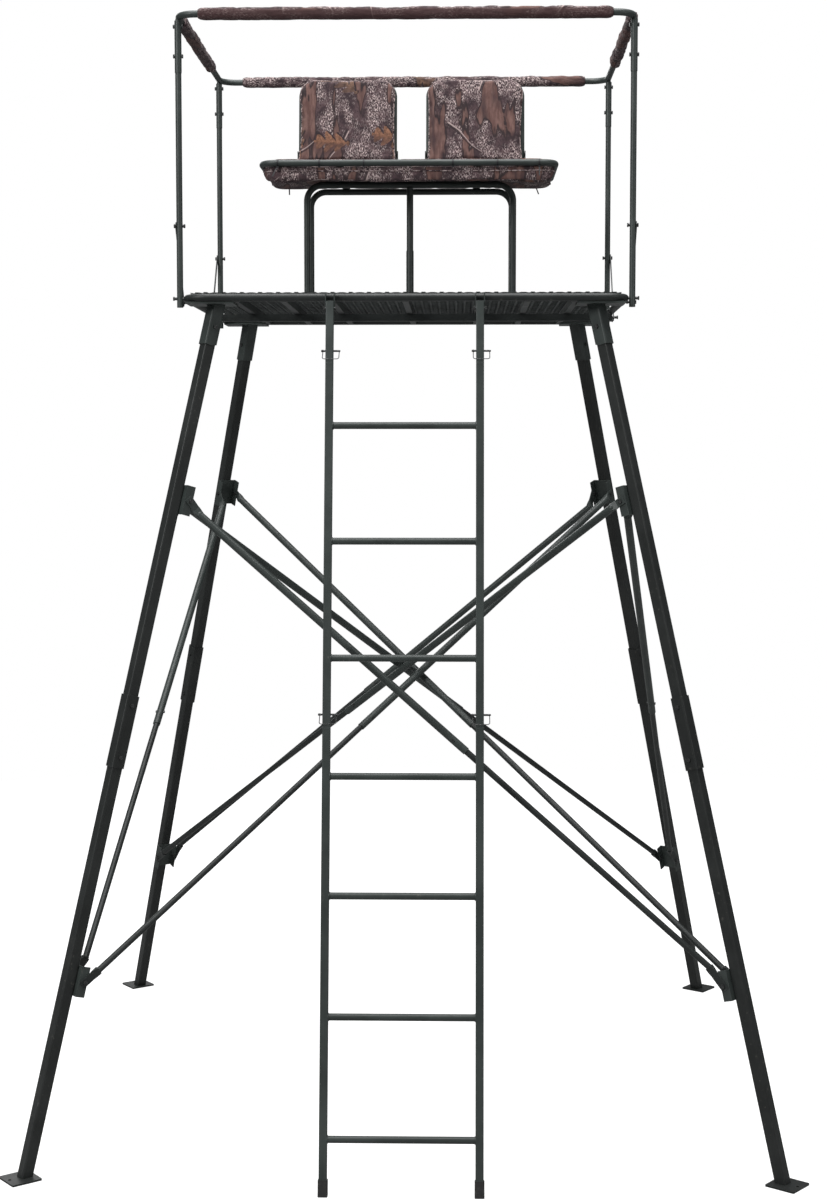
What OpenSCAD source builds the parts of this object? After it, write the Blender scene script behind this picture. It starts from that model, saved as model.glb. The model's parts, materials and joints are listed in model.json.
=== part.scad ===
// Ladder tree stand: a four-legged tower with a platform, padded shooting rail, bench seat and ladder.
// Millimetres, +Z up, -Y towards the ladder, and +X to the right for someone who faces the ladder.
// The origin is on the ground at the middle of the footprint.

/* [Tower] */
// Height of the platform tubes above the ground
platform_z = 2743; // [2600:1:2900]
// Half the leg spacing across, at platform height
leg_top_x = 608; // [590:1:625]
// Half the leg spacing front to back, at platform height
leg_top_y = 520; // [505:1:535]
// Half the leg spacing across, at the ground
foot_x = 1175; // [1100:1:1250]
// Distance of the front feet in front of the platform's middle
foot_front = 975; // [900:1:1020]
// Distance of the back feet behind the platform's middle
foot_back = 1275; // [1200:1:1350]
// Side of the square leg tube
leg_side = 38; // [36:1:40]
// Height of the middle of the leg sleeves
sleeve_z = 1370; // [1340:1:1400]
// Length of a leg sleeve
sleeve_length = 225; // [200:1:240]
// Side of a foot plate
plate_side = 100; // [90:1:120]
// Radius of the stake hole in a foot plate
stake_r = 5.5; // [4:0.5:7]

/* [Braces] */
// Height of the upper brace brackets
brace_top_z = 2105; // [2060:1:2150]
// Height of the lower brace brackets
brace_low_z = 605; // [560:1:650]
// Diameter of the outer brace tube
brace_outer_d = 25; // [22:0.5:25]
// Diameter of the inner brace tube
brace_inner_d = 20; // [16:0.5:21]
// Share of a brace's length that the outer tube covers
brace_outer_share = 0.53; // [0.45:0.01:0.6]

/* [Platform] */
// Half the platform's width over the tubes
platform_half_x = 714.9; // [714:0.1:716]
// Half the platform's depth over the tubes
platform_half_y = 610; // [600:1:620]
// Diameter of the platform's edge tube
platform_tube = 25; // [24:0.5:26]
// Thickness of the expanded metal deck
deck_t = 3; // [2:0.5:4]

/* [Rail] */
// Height of the shooting rail's tube
rail_z = 3632; // [3560:1:3700]
// Diameter of the rail tube
rail_d = 22; // [20:0.5:23]
// Diameter of a lower post tube
post_d = 20; // [18:0.5:21]
// Outside diameter of the rail padding
rail_pad_d = 40; // [34:1:46]
// Bend radius of the rail's corners
rail_bend = 60; // [50:1:66]

/* [Seat] */
// Height of the seat frame's tube
seat_z = 3222; // [3210:1:3240]
// Half the seat frame's width over the tube's middle
seat_half_x = 496; // [480:1:510]
// Front of the seat frame
seat_front = -197; // [-210:1:-185]
// Back of the seat frame
seat_back = 243; // [235:1:255]
// Diameter of the seat's tubes
seat_tube = 22; // [20:0.5:22]
// Half the spacing of the seat's side legs
seat_leg_x = 358; // [340:1:375]
// Lean of a backrest at rest, in degrees
backrest_lean = 8; // [5:1:10]
// Height of a backrest above its pivot
backrest_height = 283; // [270:1:300]
// Half the width of a backrest over the tube's middle
backrest_half_x = 166; // [155:1:170]
// Distance of a backrest's middle from the middle of the seat
backrest_x = 228; // [225:1:235]

/* [Ladder] */
// Half the spacing of the ladder's stiles
stile_half_x = 238; // [225:1:250]
// Side of a stile's square tube
stile_side = 25; // [24:0.5:26]
// Distance of the ladder's foot in front of the platform's middle
ladder_foot = 1100; // [1080:1:1150]
// Height of the first rung along the ladder
first_rung = 168; // [150:1:180]
// Spacing of the rungs along the ladder
rung_pitch = 367; // [355:1:370]
// Diameter of a rung
rung_d = 22; // [20:0.5:24]

/* [Hidden] */
$fn = 48;
weld = 0.05;            // gap left where two welded tubes meet, so each stays a solid
steel = [0.24, 0.27, 0.26];
dark_steel = [0.13, 0.14, 0.14];
zinc = [0.62, 0.63, 0.64];
camo = [0.45, 0.38, 0.35];

SIDES = ["left_front", "right_front", "left_back", "right_back"];
FACES = ["front", "right", "back", "left"];
PIN_NAMES = ["upper_left", "upper_right", "lower_left", "lower_right"];

// Legs: index 0 left front, 1 right front, 2 left back, 3 right back
function side_x(i) = i % 2 == 0 ? -1 : 1;
function side_y(i) = i < 2 ? -1 : 1;
function foot_y(i) = i < 2 ? -foot_front : foot_back;
function leg_point(i, z) = let (t = 1 - z / platform_z)
    [side_x(i) * (leg_top_x + (foot_x - leg_top_x) * t),
     side_y(i) * leg_top_y + (foot_y(i) - side_y(i) * leg_top_y) * t, z];
function leg_down(i) = let (d = leg_point(i, 0) - leg_point(i, platform_z)) d / norm(d);
function leg_azimuth(i) = atan2(leg_down(i).y, leg_down(i).x);
function leg_radial(i) = [cos(leg_azimuth(i)), sin(leg_azimuth(i)), 0];
function leg_tangent(i) = [-sin(leg_azimuth(i)), cos(leg_azimuth(i)), 0];
leg_corner_r = 5;
plate_t = 6;
plate_shift = 14;       // the plate's middle lies this far outside the leg
leg_bottom = plate_t;
socket_length = 130;
socket_side = 45;
gusset_t = 6;
gusset_top = platform_z - platform_tube / 2 - weld;
leg_top_end = gusset_top - gusset_t - weld;

// Where the tower stands, so that the footprint is centred on the origin
ladder_lean = atan2(ladder_foot - platform_half_y - stile_side / 2 - 1, platform_z);
cap_half = stile_side / 2 + 2.5;
front_reach = ladder_foot + cap_half / cos(ladder_lean);
back_reach = foot_back + plate_shift * leg_radial(2).y
    + plate_side / 2 * (abs(cos(leg_azimuth(2))) + abs(sin(leg_azimuth(2))));
tower_y = (front_reach - back_reach) / 2;

// Braces
bracket_height = 96;
bracket_reach = 30;     // how far a flange stands inside the leg's face
bracket_half = 35.5;    // middle of a flange from the leg's middle plane
flange_t = 3;
tab_t = 4;
tab_width = 26;
bolt_r = 4.9;
hole_r = 5;
tab_offset = bracket_half + flange_t / 2 + tab_t / 2;
brace_bolt_in = leg_side / 2 + 20;
face_reach = [56, 74];  // a face brace's round tube starts this far from its upper and lower bolt
cross_reach = [40, 58]; // and a cross brace's, both clear of the brackets
tab_past = 13;          // and the flat end runs this far past it
neck_length = 24;       // the flat end widens into the round tube over this length
neck = 1.2;             // the bend is this much thicker than the tube
function leg_inward(i) = cross(leg_tangent(i), leg_down(i));
function brace_pin(i, z, side) = leg_point(i, z) + brace_bolt_in * leg_inward(i)
    + side * tab_offset * leg_tangent(i);
function unit(v) = v / norm(v);
function tab_way(i, from, to) = unit((to - from) - ((to - from) * leg_tangent(i)) * leg_tangent(i));
function toward(i, j) = sign((leg_point(j, 0) - leg_point(i, 0)) * leg_tangent(i));
NEXT = [1, 3, 0, 2];    // each leg's face brace runs from its top to this leg's bottom
BEFORE = [2, 0, 3, 1];
ACROSS = [3, 2, 1, 0];
FACE_FROM = [0, 1, 3, 2]; // leg that holds the top of the front, right, back and left face brace
lock_bolt_back = 55;    // a brace's lock bolt sits this far from the outer tube's open end

// Platform
ring_x = platform_half_x - platform_tube / 2;
ring_y = platform_half_y - platform_tube / 2;
ring_bend = 62;
joist_w = 20;
joist_end = ring_y - platform_tube / 2 - weld;
joist_x = [-545, -390, -235, 0, 235, 390, 545];
deck_z = platform_z + platform_tube / 2 + weld;
deck_inset = 4;
deck_top = deck_z + deck_t + weld;
cross_rail_h = 25;

// Rail and posts
post_x = platform_half_x + 10.1;
post_y = 548;
post_top_d = 22.2;
post_joint_z = 3457;
post_low_z = platform_z - 28;
post_high_z = rail_z - rail_d / 2 - 1;
stub_d = 16;            // the rail's stubs stand in the tops of the posts
stub_length = 62;
stub_high = 6;
rail_x = post_x - 2;
rail_y = 592;
rail_pad_bore = rail_d / 2 + 0.4;
front_pad_half = 655;
back_pad_half = 640;
post_bolt_z = [platform_z, 2974, 3509, rail_z - 30];
stay_drop_y = 170;
stay_w = 19;
stay_t = 3;
stay_x = post_x + post_d / 2 + stay_t / 2 + weld;

// Seat
seat_bend = 50;
seat_bar_z = [3177, 3177];
seat_bar_y = [20, 210];
seat_leg_bend = 55;
centre_leg_d = 23;
centre_joint_z = 2950;
strap_x = 232;
strap_w = 26;
strap_t = 5;
strap_z = seat_bar_z[0] + seat_tube / 2 + weld;
hanger_t = 2.5;
hanger_front = seat_front + seat_tube / 2 + weld;
hanger_back = seat_back - seat_tube / 2 - weld;
cushion_gap = 3;
cushion_lap = 7;         // the cushion's underside runs this far past the middle of the seat's tubes
cushion_low = strap_z + strap_t + 0.5;
cushion_high = 3236;
tie_x = [-440, -300, -150, 150, 300, 440];
tie_w = 5;

// Backrests
pivot_y = seat_back;
pivot_z = seat_z + 68;
backrest_tube = 20;
backrest_bend = 50;
backrest_pad_t = 34;
backrest_pad_low = -16;  // the pad hides the pivots
lug_t = 3;
lug_gap = backrest_tube / 2 + 0.6;
pivot_bolt_r = 4;
pivot_hole_r = 4.08;

// Ladder: a frame whose Z runs up the stiles and whose Y points to the back
ladder_length = platform_z / cos(ladder_lean);
ladder_top_end = ladder_length - 16;
ladder_cap_top = 48;
hook_t = 3;
hook_round = 21;
hook_bolt_drop = 22;     // below the top of the stile
hook_clear = 12.2;       // a hook plate stays under the deck and in front of the joists
hook_joint = 2570;
mid_joint = 1421;
tenon = 80;
tenon_side = 20;
socket_gap = 0.2;
pin_above_joint = 39;
pin_r = 3.15;
pin_hole_r = 3.25;
pin_s = [hook_joint + pin_above_joint, hook_joint + pin_above_joint,
         mid_joint + pin_above_joint, mid_joint + pin_above_joint];
pin_head_x = -stile_side / 2 - 9;
pin_tip_x = pin_head_x + 56;
bail_wire = 2.6;
bail_drop = 38;
bail_bend = 8;
bail_side = 5;          // the loop lies this far beside the pin's middle
pin_head_r = 3.6;

module place() translate([0, tower_y, 0]) children();

// Puts the children's +Z along the line from a to b, with their X in the line's vertical plane
module along(a, b) {
    d = b - a;
    translate(a) rotate([0, acos(d.z / norm(d)), atan2(d.y, d.x)]) children();
}

module rounded_square(side, r) {
    square([side - 2 * r, side], center = true);
    square([side, side - 2 * r], center = true);
    for (x = [-1, 1], y = [-1, 1]) translate([x, y] * (side / 2 - r)) circle(r);
}

module square_bar(length, side, r) linear_extrude(length) rounded_square(side, r);

module rod(a, b, d) along(a, b) cylinder(h = norm(b - a), d = d);

// A quarter bend of tube, from +X round to +Y, about the origin
module elbow(bend, d, angle = 90) rotate_extrude(angle = angle) translate([bend, 0]) circle(d = d);

module bolt(length, r, head = 7) {
    cylinder(h = length, r = r, center = true);
    for (m = [0, 1]) mirror([0, 0, m]) translate([0, 0, length / 2 - 0.01])
        cylinder(h = 0.66 * head, r = head, $fn = 6);
}

// Legs
module leg_bar(i, low, high) {
    a = leg_point(i, low);
    b = leg_point(i, high);
    along(a, b) square_bar(norm(b - a), leg_side, leg_corner_r);
}

module level_leg(i, low, high) intersection() {
    leg_bar(i, low - 30, high + 30);
    translate([0, 0, low]) linear_extrude(high - low) square(4 * foot_x, center = true);
}

module lower_leg(i) color(steel) place() difference() {
    level_leg(i, leg_bottom + weld, sleeve_z - 1);
    for (s = [-1, 1]) sleeve_bolt_axis(i, s) cylinder(h = 80, r = hole_r, center = true);
}

module upper_leg(i) color(steel) place() difference() {
    level_leg(i, sleeve_z + 1, leg_top_end);
    for (s = [-1, 1]) sleeve_bolt_axis(i, s) cylinder(h = 80, r = hole_r, center = true);
    socket_bolt_axis(i) cylinder(h = 80, r = hole_r, center = true);
}

module sleeve_bolt_axis(i, s) translate(leg_point(i, sleeve_z + s * sleeve_length * 0.36))
    rotate([0, 0, leg_azimuth(i)]) rotate([90, 0, 0]) children();

module socket_bolt_axis(i) translate(leg_point(i, leg_top_end - socket_length * 0.55))
    rotate([0, 0, leg_azimuth(i)]) rotate([90, 0, 0]) children();

module leg_sleeve(i) difference() {
    a = leg_point(i, sleeve_z - sleeve_length / 2);
    b = leg_point(i, sleeve_z + sleeve_length / 2);
    along(a, b) difference() {
        square_bar(norm(b - a), socket_side, leg_corner_r + 1);
        translate([0, 0, -1]) square_bar(norm(b - a) + 2, leg_side + 0.6, leg_corner_r);
    }
    for (s = [-1, 1]) sleeve_bolt_axis(i, s) cylinder(h = 80, r = hole_r, center = true);
}

module leg_sleeves() color(dark_steel) place() for (i = [0:3]) leg_sleeve(i);

module foot_plate(i) translate(leg_point(i, 0)) rotate([0, 0, leg_azimuth(i)])
    translate([plate_shift, 0, 0]) linear_extrude(plate_t) difference() {
        rounded_square(plate_side, 4);
        translate([plate_side / 2 - 14, 0]) circle(stake_r);
    }

module foot_plates() color(steel) place() for (i = [0:3]) foot_plate(i);

// A frame on leg i at height z: Z up along the leg, X inward, Y along the tangent
module leg_frame(i, z) {
    up = -leg_down(i);
    translate(leg_point(i, z)) rotate([0, acos(up.z), atan2(up.y, up.x)]) children();
}

// Brackets and braces
module bracket(i, z) leg_frame(i, z) difference() {
    union() {
        translate([leg_side / 2 + weld, -bracket_half, -bracket_height / 2])
            cube([flange_t, 2 * bracket_half, bracket_height]);
        for (s = [-1, 1])
            translate([leg_side / 2 + weld, s * bracket_half - flange_t / 2, -bracket_height / 2])
                cube([bracket_reach, flange_t, bracket_height]);
    }
    translate([brace_bolt_in, 0, 0]) rotate([90, 0, 0]) cylinder(h = 100, r = hole_r, center = true);
}

module brace_brackets() color(steel) place()
    for (i = [0:3], z = [brace_top_z, brace_low_z]) bracket(i, z);

// The frame of a brace's flat end: pinned at p on leg i, with -X along the way w to the tube
module tab_frame(i, p, w) translate(p) rotate([0, 0, leg_azimuth(i)]) rotate([0, asin(w.z), 0])
    children();

// The flat end of a brace, its flattened neck, and the bend into the round tube, this reach from the bolt
module brace_tab(i, p, w, reach, d) {
    difference() {
        tab_frame(i, p, w) {
            translate([neck_length / 2 - reach, -tab_t / 2, -tab_width / 2])
                cube([reach - neck_length / 2 + tab_past, tab_t, tab_width]);
            intersection() {
                translate([0, 0, -tab_width]) linear_extrude(2 * tab_width)
                    polygon([[neck_length - reach, 0.3 - tab_t / 2], [neck_length - reach, tab_t / 2 - 0.3],
                             [-reach, 0.44 * d], [-reach, -0.44 * d]]);
                rotate([0, -90, 0]) cylinder(h = reach + 5, d = tab_width + 1.5);
            }
        }
        translate(p) rotate([0, 0, leg_azimuth(i)]) rotate([90, 0, 0])
            cylinder(h = 60, r = hole_r, center = true);
    }
    translate(p + reach * w) sphere(d = d + neck);
}

// One half of the brace from leg i to leg j: the outer tube at the top or the inner tube at the foot
module brace(i, j, side_i, side_j, reach, outer) {
    p = brace_pin(i, brace_top_z, side_i);
    q = brace_pin(j, brace_low_z, side_j);
    wp = tab_way(i, p, q);
    wq = tab_way(j, q, p);
    a = p + reach[0] * wp;
    b = q + reach[1] * wq;
    line = unit(b - a);
    step = a + (b - a) * brace_outer_share;
    if (outer) difference() {
        union() {
            brace_tab(i, p, wp, reach[0], brace_outer_d);
            rod(a, step, brace_outer_d);
        }
        lock_axis(step, line) cylinder(h = 60, r = 3.2, center = true);
    }
    else union() {
        brace_tab(j, q, wq, reach[1], brace_inner_d);
        rod(step + line * weld, b, brace_inner_d);
    }
}

module lock_axis(step, line) translate(step - line * lock_bolt_back)
    rotate([0, 0, atan2(line.y, line.x)]) rotate([90, 0, 0]) children();

function face_side_top(i) = toward(i, NEXT[i]);
function face_side_low(j) = toward(j, BEFORE[j]);

module face_brace(k, outer) color(outer ? steel : dark_steel) place() {
    i = FACE_FROM[k];
    brace(i, NEXT[i], face_side_top(i), face_side_low(NEXT[i]), face_reach, outer);
}

module cross_brace(i, outer) color(outer ? steel : dark_steel) place()
    brace(i, ACROSS[i], -face_side_top(i), -face_side_low(ACROSS[i]), cross_reach, outer);

module brace_pair_bolts(i, j, side_i, side_j, reach) {
    p = brace_pin(i, brace_top_z, side_i);
    q = brace_pin(j, brace_low_z, side_j);
    a = p + reach[0] * tab_way(i, p, q);
    b = q + reach[1] * tab_way(j, q, p);
    grip = tab_t + flange_t + 2 * weld;
    for (e = [[i, p, side_i], [j, q, side_j]])
        translate(e[1] - e[2] * (flange_t / 2) * leg_tangent(e[0]))
            rotate([0, 0, leg_azimuth(e[0])]) rotate([90, 0, 0]) bolt(grip, bolt_r);
    lock_axis(a + (b - a) * brace_outer_share, unit(b - a)) bolt(brace_outer_d, 3.1, 5);
}

module brace_bolts() color(zinc) place() for (i = [0:3]) {
    brace_pair_bolts(i, NEXT[i], face_side_top(i), face_side_low(NEXT[i]), face_reach);
    brace_pair_bolts(i, ACROSS[i], -face_side_top(i), -face_side_low(ACROSS[i]), cross_reach);
}

// Platform
module corner_socket(i) difference() {
    union() {
        translate([side_x(i) * (ring_x + leg_top_x - 60) / 2, side_y(i) * (ring_y + leg_top_y - 60) / 2,
                   gusset_top - gusset_t])
            linear_extrude(gusset_t) square([ring_x - leg_top_x + 60, ring_y - leg_top_y + 60], center = true);
        intersection() {
            leg_sleeve_shape(i, leg_top_end - socket_length, platform_z + 40, socket_side, leg_corner_r + 1);
            translate([0, 0, leg_top_end - socket_length])
                linear_extrude(socket_length + weld) square(4 * foot_x, center = true);
        }
    }
    intersection() {
        leg_sleeve_shape(i, leg_top_end - 2 * socket_length, platform_z + 60,
                         leg_side + 0.6, leg_corner_r);
        translate([0, 0, leg_top_end - 2 * socket_length])
            linear_extrude(2 * socket_length + weld) square(4 * foot_x, center = true);
    }
    socket_bolt_axis(i) cylinder(h = 80, r = hole_r, center = true);
}

module leg_sleeve_shape(i, low, high, side, r) {
    a = leg_point(i, low);
    b = leg_point(i, high);
    along(a, b) square_bar(norm(b - a), side, r);
}

module corner_sockets() color(steel) place() for (i = [0:3]) corner_socket(i);

// A level ring of round tube, welded from straight lengths and quarter bends
module tube_ring(half_x, half_y, bend, d) for (m = [0, 1], n = [0, 1]) mirror([m, 0, 0]) mirror([0, n, 0]) {
    translate([half_x - bend, half_y - bend, 0]) elbow(bend, d);
    if (n == 0) rod([half_x, bend - half_y + weld, 0], [half_x, half_y - bend - weld, 0], d);
    if (m == 0) rod([bend - half_x + weld, half_y, 0], [half_x - bend - weld, half_y, 0], d);
}

module platform_frame() color(dark_steel) place() {
    difference() {
        translate([0, 0, platform_z]) tube_ring(ring_x, ring_y, ring_bend, platform_tube);
        for (x = [-1, 1], y = [-1, 1]) translate([x * ring_x, y * post_y, platform_z])
            rotate([0, 90, 0]) cylinder(h = 60, r = hole_r, center = true);
    }
    for (x = joist_x) translate([x - joist_w / 2, -joist_end, platform_z - platform_tube / 2])
        cube([joist_w, 2 * joist_end, platform_tube]);
    translate([-ring_x, -cross_rail_h / 2, gusset_top - cross_rail_h])
        cube([2 * ring_x, cross_rail_h, cross_rail_h]);
}

module deck() color(dark_steel) place() translate([0, 0, deck_z]) linear_extrude(deck_t)
    deck_outline(platform_half_x - deck_inset, platform_half_y - deck_inset, ring_bend);

module deck_outline(half_x, half_y, r) {
    square([2 * half_x, 2 * (half_y - r)], center = true);
    square([2 * (half_x - r), 2 * half_y], center = true);
    for (x = [-1, 1], y = [-1, 1]) translate([x * (half_x - r), y * (half_y - r)]) circle(r);
}

// Posts and rail
module corners() for (x = [-1, 1], y = [-1, 1]) translate([x * post_x, y * post_y, 0]) children();

module rail_posts() color(steel) place() difference() {
    corners() {
        translate([0, 0, post_low_z]) cylinder(h = post_joint_z - post_low_z - weld, d = post_d);
        translate([0, 0, post_joint_z]) cylinder(h = post_high_z - post_joint_z, d = post_top_d);
    }
    corners() translate([0, 0, rail_z - stub_length - 1]) cylinder(h = stub_length, d = stub_d + 0.4);
    for (z = post_bolt_z) corners() translate([0, 0, z]) rotate([0, 90, 0])
        cylinder(h = 60, r = hole_r, center = true);
}

// Half of the shooting rail: the tube across the front or the back with its corners and side lengths
module rail_half(side) color(steel) place() mirror([0, side < 0 ? 1 : 0, 0]) translate([0, 0, rail_z]) {
    rod([rail_bend - rail_x + weld, rail_y, 0], [rail_x - rail_bend - weld, rail_y, 0], rail_d);
    for (m = [0, 1]) mirror([m, 0, 0]) difference() {
        union() {
            translate([rail_x - rail_bend, rail_y - rail_bend, 0]) elbow(rail_bend, rail_d);
            translate([post_x, post_y, -stub_length]) cylinder(h = stub_length - stub_high, d = stub_d);
            rod([rail_x, weld, 0], [rail_x, rail_y - rail_bend - weld, 0], rail_d);
        }
        translate([post_x, post_y, post_bolt_z[3] - rail_z]) rotate([0, 90, 0])
            cylinder(h = 60, r = hole_r, center = true);
    }
}

module front_rail() rail_half(-1);
module back_rail() rail_half(1);

module pad_tube(length) difference() {
    cylinder(h = length, d = rail_pad_d, center = true);
    cylinder(h = length + 2, r = rail_pad_bore, center = true);
}

module front_rail_pad() color(camo) place() translate([0, -rail_y, rail_z]) rotate([0, 90, 0])
    pad_tube(2 * min(front_pad_half, rail_x - rail_bend - 4));
module back_rail_pad() color(camo) place() translate([0, rail_y, rail_z]) rotate([0, 90, 0])
    pad_tube(2 * min(back_pad_half, rail_x - rail_bend - 4));
module side_rail_pads() color(camo) place() for (x = [-1, 1])
    translate([x * rail_x, x < 0 ? -85 : -135, rail_z]) rotate([90, 0, 0]) pad_tube(780);

// A flat bar from a post down to the platform's side tube
module post_stay(x, y) {
    high = [x * stay_x, y * post_y, post_bolt_z[1]];
    low = [x * stay_x, y * (post_y - stay_drop_y), platform_z];
    difference() {
        along(low, high) translate([-stay_w / 2, -stay_t / 2, -stay_w / 2])
            cube([stay_w, stay_t, norm(high - low) + stay_w]);
        for (p = [low, high]) translate(p) rotate([0, 90, 0]) cylinder(h = 20, r = hole_r, center = true);
    }
}

module post_stays() color(dark_steel) place() for (x = [-1, 1], y = [-1, 1]) post_stay(x, y);

module across(x, y, z, length) translate([x, y, z]) rotate([0, 90, 0]) bolt(length, bolt_r, 6.5);

module frame_bolts() color(zinc) place() {
    for (i = [0:3]) {
        for (s = [-1, 1]) sleeve_bolt_axis(i, s) bolt(socket_side + 0.4, bolt_r);
        socket_bolt_axis(i) bolt(socket_side + 0.4, bolt_r);
    }
    for (x = [-1, 1], y = [-1, 1]) {
        across(x * (post_x + ring_x) / 2, y * post_y, platform_z, post_x - ring_x + post_d / 2 + 26);
        across(x * post_x, y * post_y, post_bolt_z[1], post_d + 8);
        for (k = [2, 3]) across(x * post_x, y * post_y, post_bolt_z[k], post_top_d + 1);
        across(x * stay_x, y * (post_y - stay_drop_y), platform_z, 24);
    }
    for (x = [-1, 1]) hook_bolt_place(x) rotate([0, 90, 0]) bolt(stile_side + 2 * hook_t + 1, bolt_r);
    for (b = [-1, 1]) backrest_lugs(b) translate([(lug_gap + lug_t - backrest_tube / 2) / 2, 0, 0])
        rotate([0, 90, 0]) bolt(backrest_tube + lug_t + 1, pivot_bolt_r, 6);
}

// Seat
module seat_frame() color(steel) place() {
    depth = (seat_back - seat_front) / 2;
    translate([0, seat_front + depth, seat_z]) tube_ring(seat_half_x, depth, seat_bend, seat_tube);
    for (x = [-1, 1]) translate([x * strap_x - strap_w / 2, hanger_front, strap_z])
        cube([strap_w, hanger_back - hanger_front, strap_t]);
    strap_hangers(0);
}

// The straps' ends, turned up inside the seat's front and back tubes, and grown by a margin
module strap_hangers(margin) for (x = [-1, 1], y = [hanger_front, hanger_back - hanger_t])
    translate([x * strap_x - strap_w / 2 - margin, y - margin, strap_z])
        cube([strap_w + 2 * margin, hanger_t + 2 * margin, seat_z - strap_z + 3]);

// An inverted U that carries the seat, welded from two legs, two bends and a top bar
module seat_arch(y, z) translate([0, y, 0]) {
    rod([seat_leg_bend - seat_leg_x + weld, 0, z], [seat_leg_x - seat_leg_bend - weld, 0, z], seat_tube);
    for (m = [0, 1]) mirror([m, 0, 0]) {
        translate([seat_leg_x - seat_leg_bend, 0, z - seat_leg_bend]) rotate([90, 0, 0])
            elbow(seat_leg_bend, seat_tube);
        translate([seat_leg_x, 0, deck_top]) cylinder(h = z - seat_leg_bend - deck_top - weld, d = seat_tube);
    }
}

module seat_leg_frames() color(steel) place() {
    for (k = [0, 1]) seat_arch(seat_bar_y[k], seat_bar_z[k]);
    translate([0, seat_bar_y[0], deck_top]) cylinder(h = centre_joint_z - deck_top - weld, d = centre_leg_d + 3);
    translate([0, seat_bar_y[0], centre_joint_z])
        cylinder(h = seat_bar_z[0] - seat_tube / 2 - centre_joint_z - weld, d = centre_leg_d);
}

// A slab inside the seat's tubes, on a wider one that laps under them
module seat_cushion() color(camo) place() difference() {
    translate([0, (seat_front + seat_back) / 2, cushion_low]) {
        linear_extrude(cushion_high - cushion_low)
            deck_outline(seat_half_x - seat_tube / 2 - cushion_gap,
                         (seat_back - seat_front - seat_tube) / 2 - cushion_gap, seat_bend - seat_tube / 2);
        linear_extrude(seat_z - seat_tube / 2 - 2 - cushion_low)
            deck_outline(seat_half_x + cushion_lap, (seat_back - seat_front) / 2 + cushion_lap,
                         seat_bend + cushion_lap);
    }
    strap_hangers(0.4);
}

module cushion_ties() color([0.05, 0.05, 0.05]) place() for (x = tie_x, y = [seat_front, seat_back])
    translate([x, y, seat_z]) rotate([0, 90, 0]) difference() {
        cylinder(h = tie_w, r = seat_tube / 2 + 1.4, center = true);
        cylinder(h = tie_w + 2, r = seat_tube / 2 + 0.1, center = true);
    }

// Backrests: b is -1 for the left one and 1 for the right one
module backrest_lugs(b) for (x = [-1, 1])
    translate([b * backrest_x + x * backrest_half_x, pivot_y, pivot_z]) mirror([x < 0 ? 1 : 0, 0, 0]) children();

// A lug outside each upright, with a stop behind the upright
module backrest_brackets() color(dark_steel) place() for (b = [-1, 1]) backrest_lugs(b) {
    difference() {
        translate([lug_gap, -13, seat_z + seat_tube / 2 + weld - pivot_z])
            cube([lug_t, 32, pivot_z - seat_z - seat_tube / 2 + 34]);
        rotate([0, 90, 0]) cylinder(h = 40, r = pivot_hole_r, center = true);
    }
    rotate([-backrest_lean, 0, 0]) translate([-backrest_tube / 2, backrest_tube / 2 + 0.3, 17])
        cube([lug_gap + weld + backrest_tube / 2, 3, 14]);
}

// A frame at a backrest's pivot: Z up its uprights and -Y out of its front
module backrest_place(b) place() translate([b * backrest_x, pivot_y, pivot_z])
    rotate([-backrest_lean, 0, 0]) children();

module backrest_frame(b) color(steel) backrest_place(b) {
    h = backrest_height;
    rod([backrest_bend - backrest_half_x + weld, 0, h], [backrest_half_x - backrest_bend - weld, 0, h],
        backrest_tube);
    for (m = [0, 1]) mirror([m, 0, 0]) {
        translate([backrest_half_x - backrest_bend, 0, h - backrest_bend]) rotate([90, 0, 0])
            elbow(backrest_bend, backrest_tube);
        difference() {
            translate([backrest_half_x, 0, -12]) cylinder(h = h - backrest_bend + 12 - weld, d = backrest_tube);
            translate([backrest_half_x, 0, 0]) rotate([0, 90, 0])
                cylinder(h = 60, r = pivot_hole_r, center = true);
        }
    }
}

module backrest_pad(b) color(camo) backrest_place(b)
    translate([0, -backrest_tube / 2 - 0.4, backrest_pad_low]) rotate([90, 0, 0])
        linear_extrude(backrest_pad_t) pad_outline(backrest_half_x + 9, backrest_height + 8 - backrest_pad_low);

module pad_outline(half, high) {
    r = backrest_bend + 8;
    translate([-half, 0]) square([2 * half, high - r]);
    translate([r - half, 0]) square([2 * (half - r), high]);
    for (x = [-1, 1]) translate([x * (half - r), high - r]) circle(r);
}

module left_backrest_frame() backrest_frame(-1);
module right_backrest_frame() backrest_frame(1);
module left_backrest_pad() backrest_pad(-1);
module right_backrest_pad() backrest_pad(1);

// Ladder
module ladder_place() place() translate([0, -ladder_foot, 0]) rotate([-ladder_lean, 0, 0]) children();

module hook_bolt_place(x) translate([0, -ladder_foot, 0]) rotate([-ladder_lean, 0, 0])
    translate([x * stile_half_x, 0, ladder_top_end - hook_bolt_drop]) children();

module stile(from, to) translate([0, 0, from]) square_bar(to - from, stile_side, 2.5);
module stile_socket(at) translate([-tenon_side / 2 - socket_gap, -tenon_side / 2 - socket_gap, at - 1])
    cube([tenon_side + 2 * socket_gap, tenon_side + 2 * socket_gap, tenon + 2]);
module stile_tenon(at) translate([-tenon_side / 2, -tenon_side / 2, at - 1])
    cube([tenon_side, tenon_side, tenon + 1]);
module pin_hole(at) translate([0, 0, at + pin_above_joint]) rotate([0, 90, 0])
    cylinder(h = 60, r = pin_hole_r, center = true);

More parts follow.
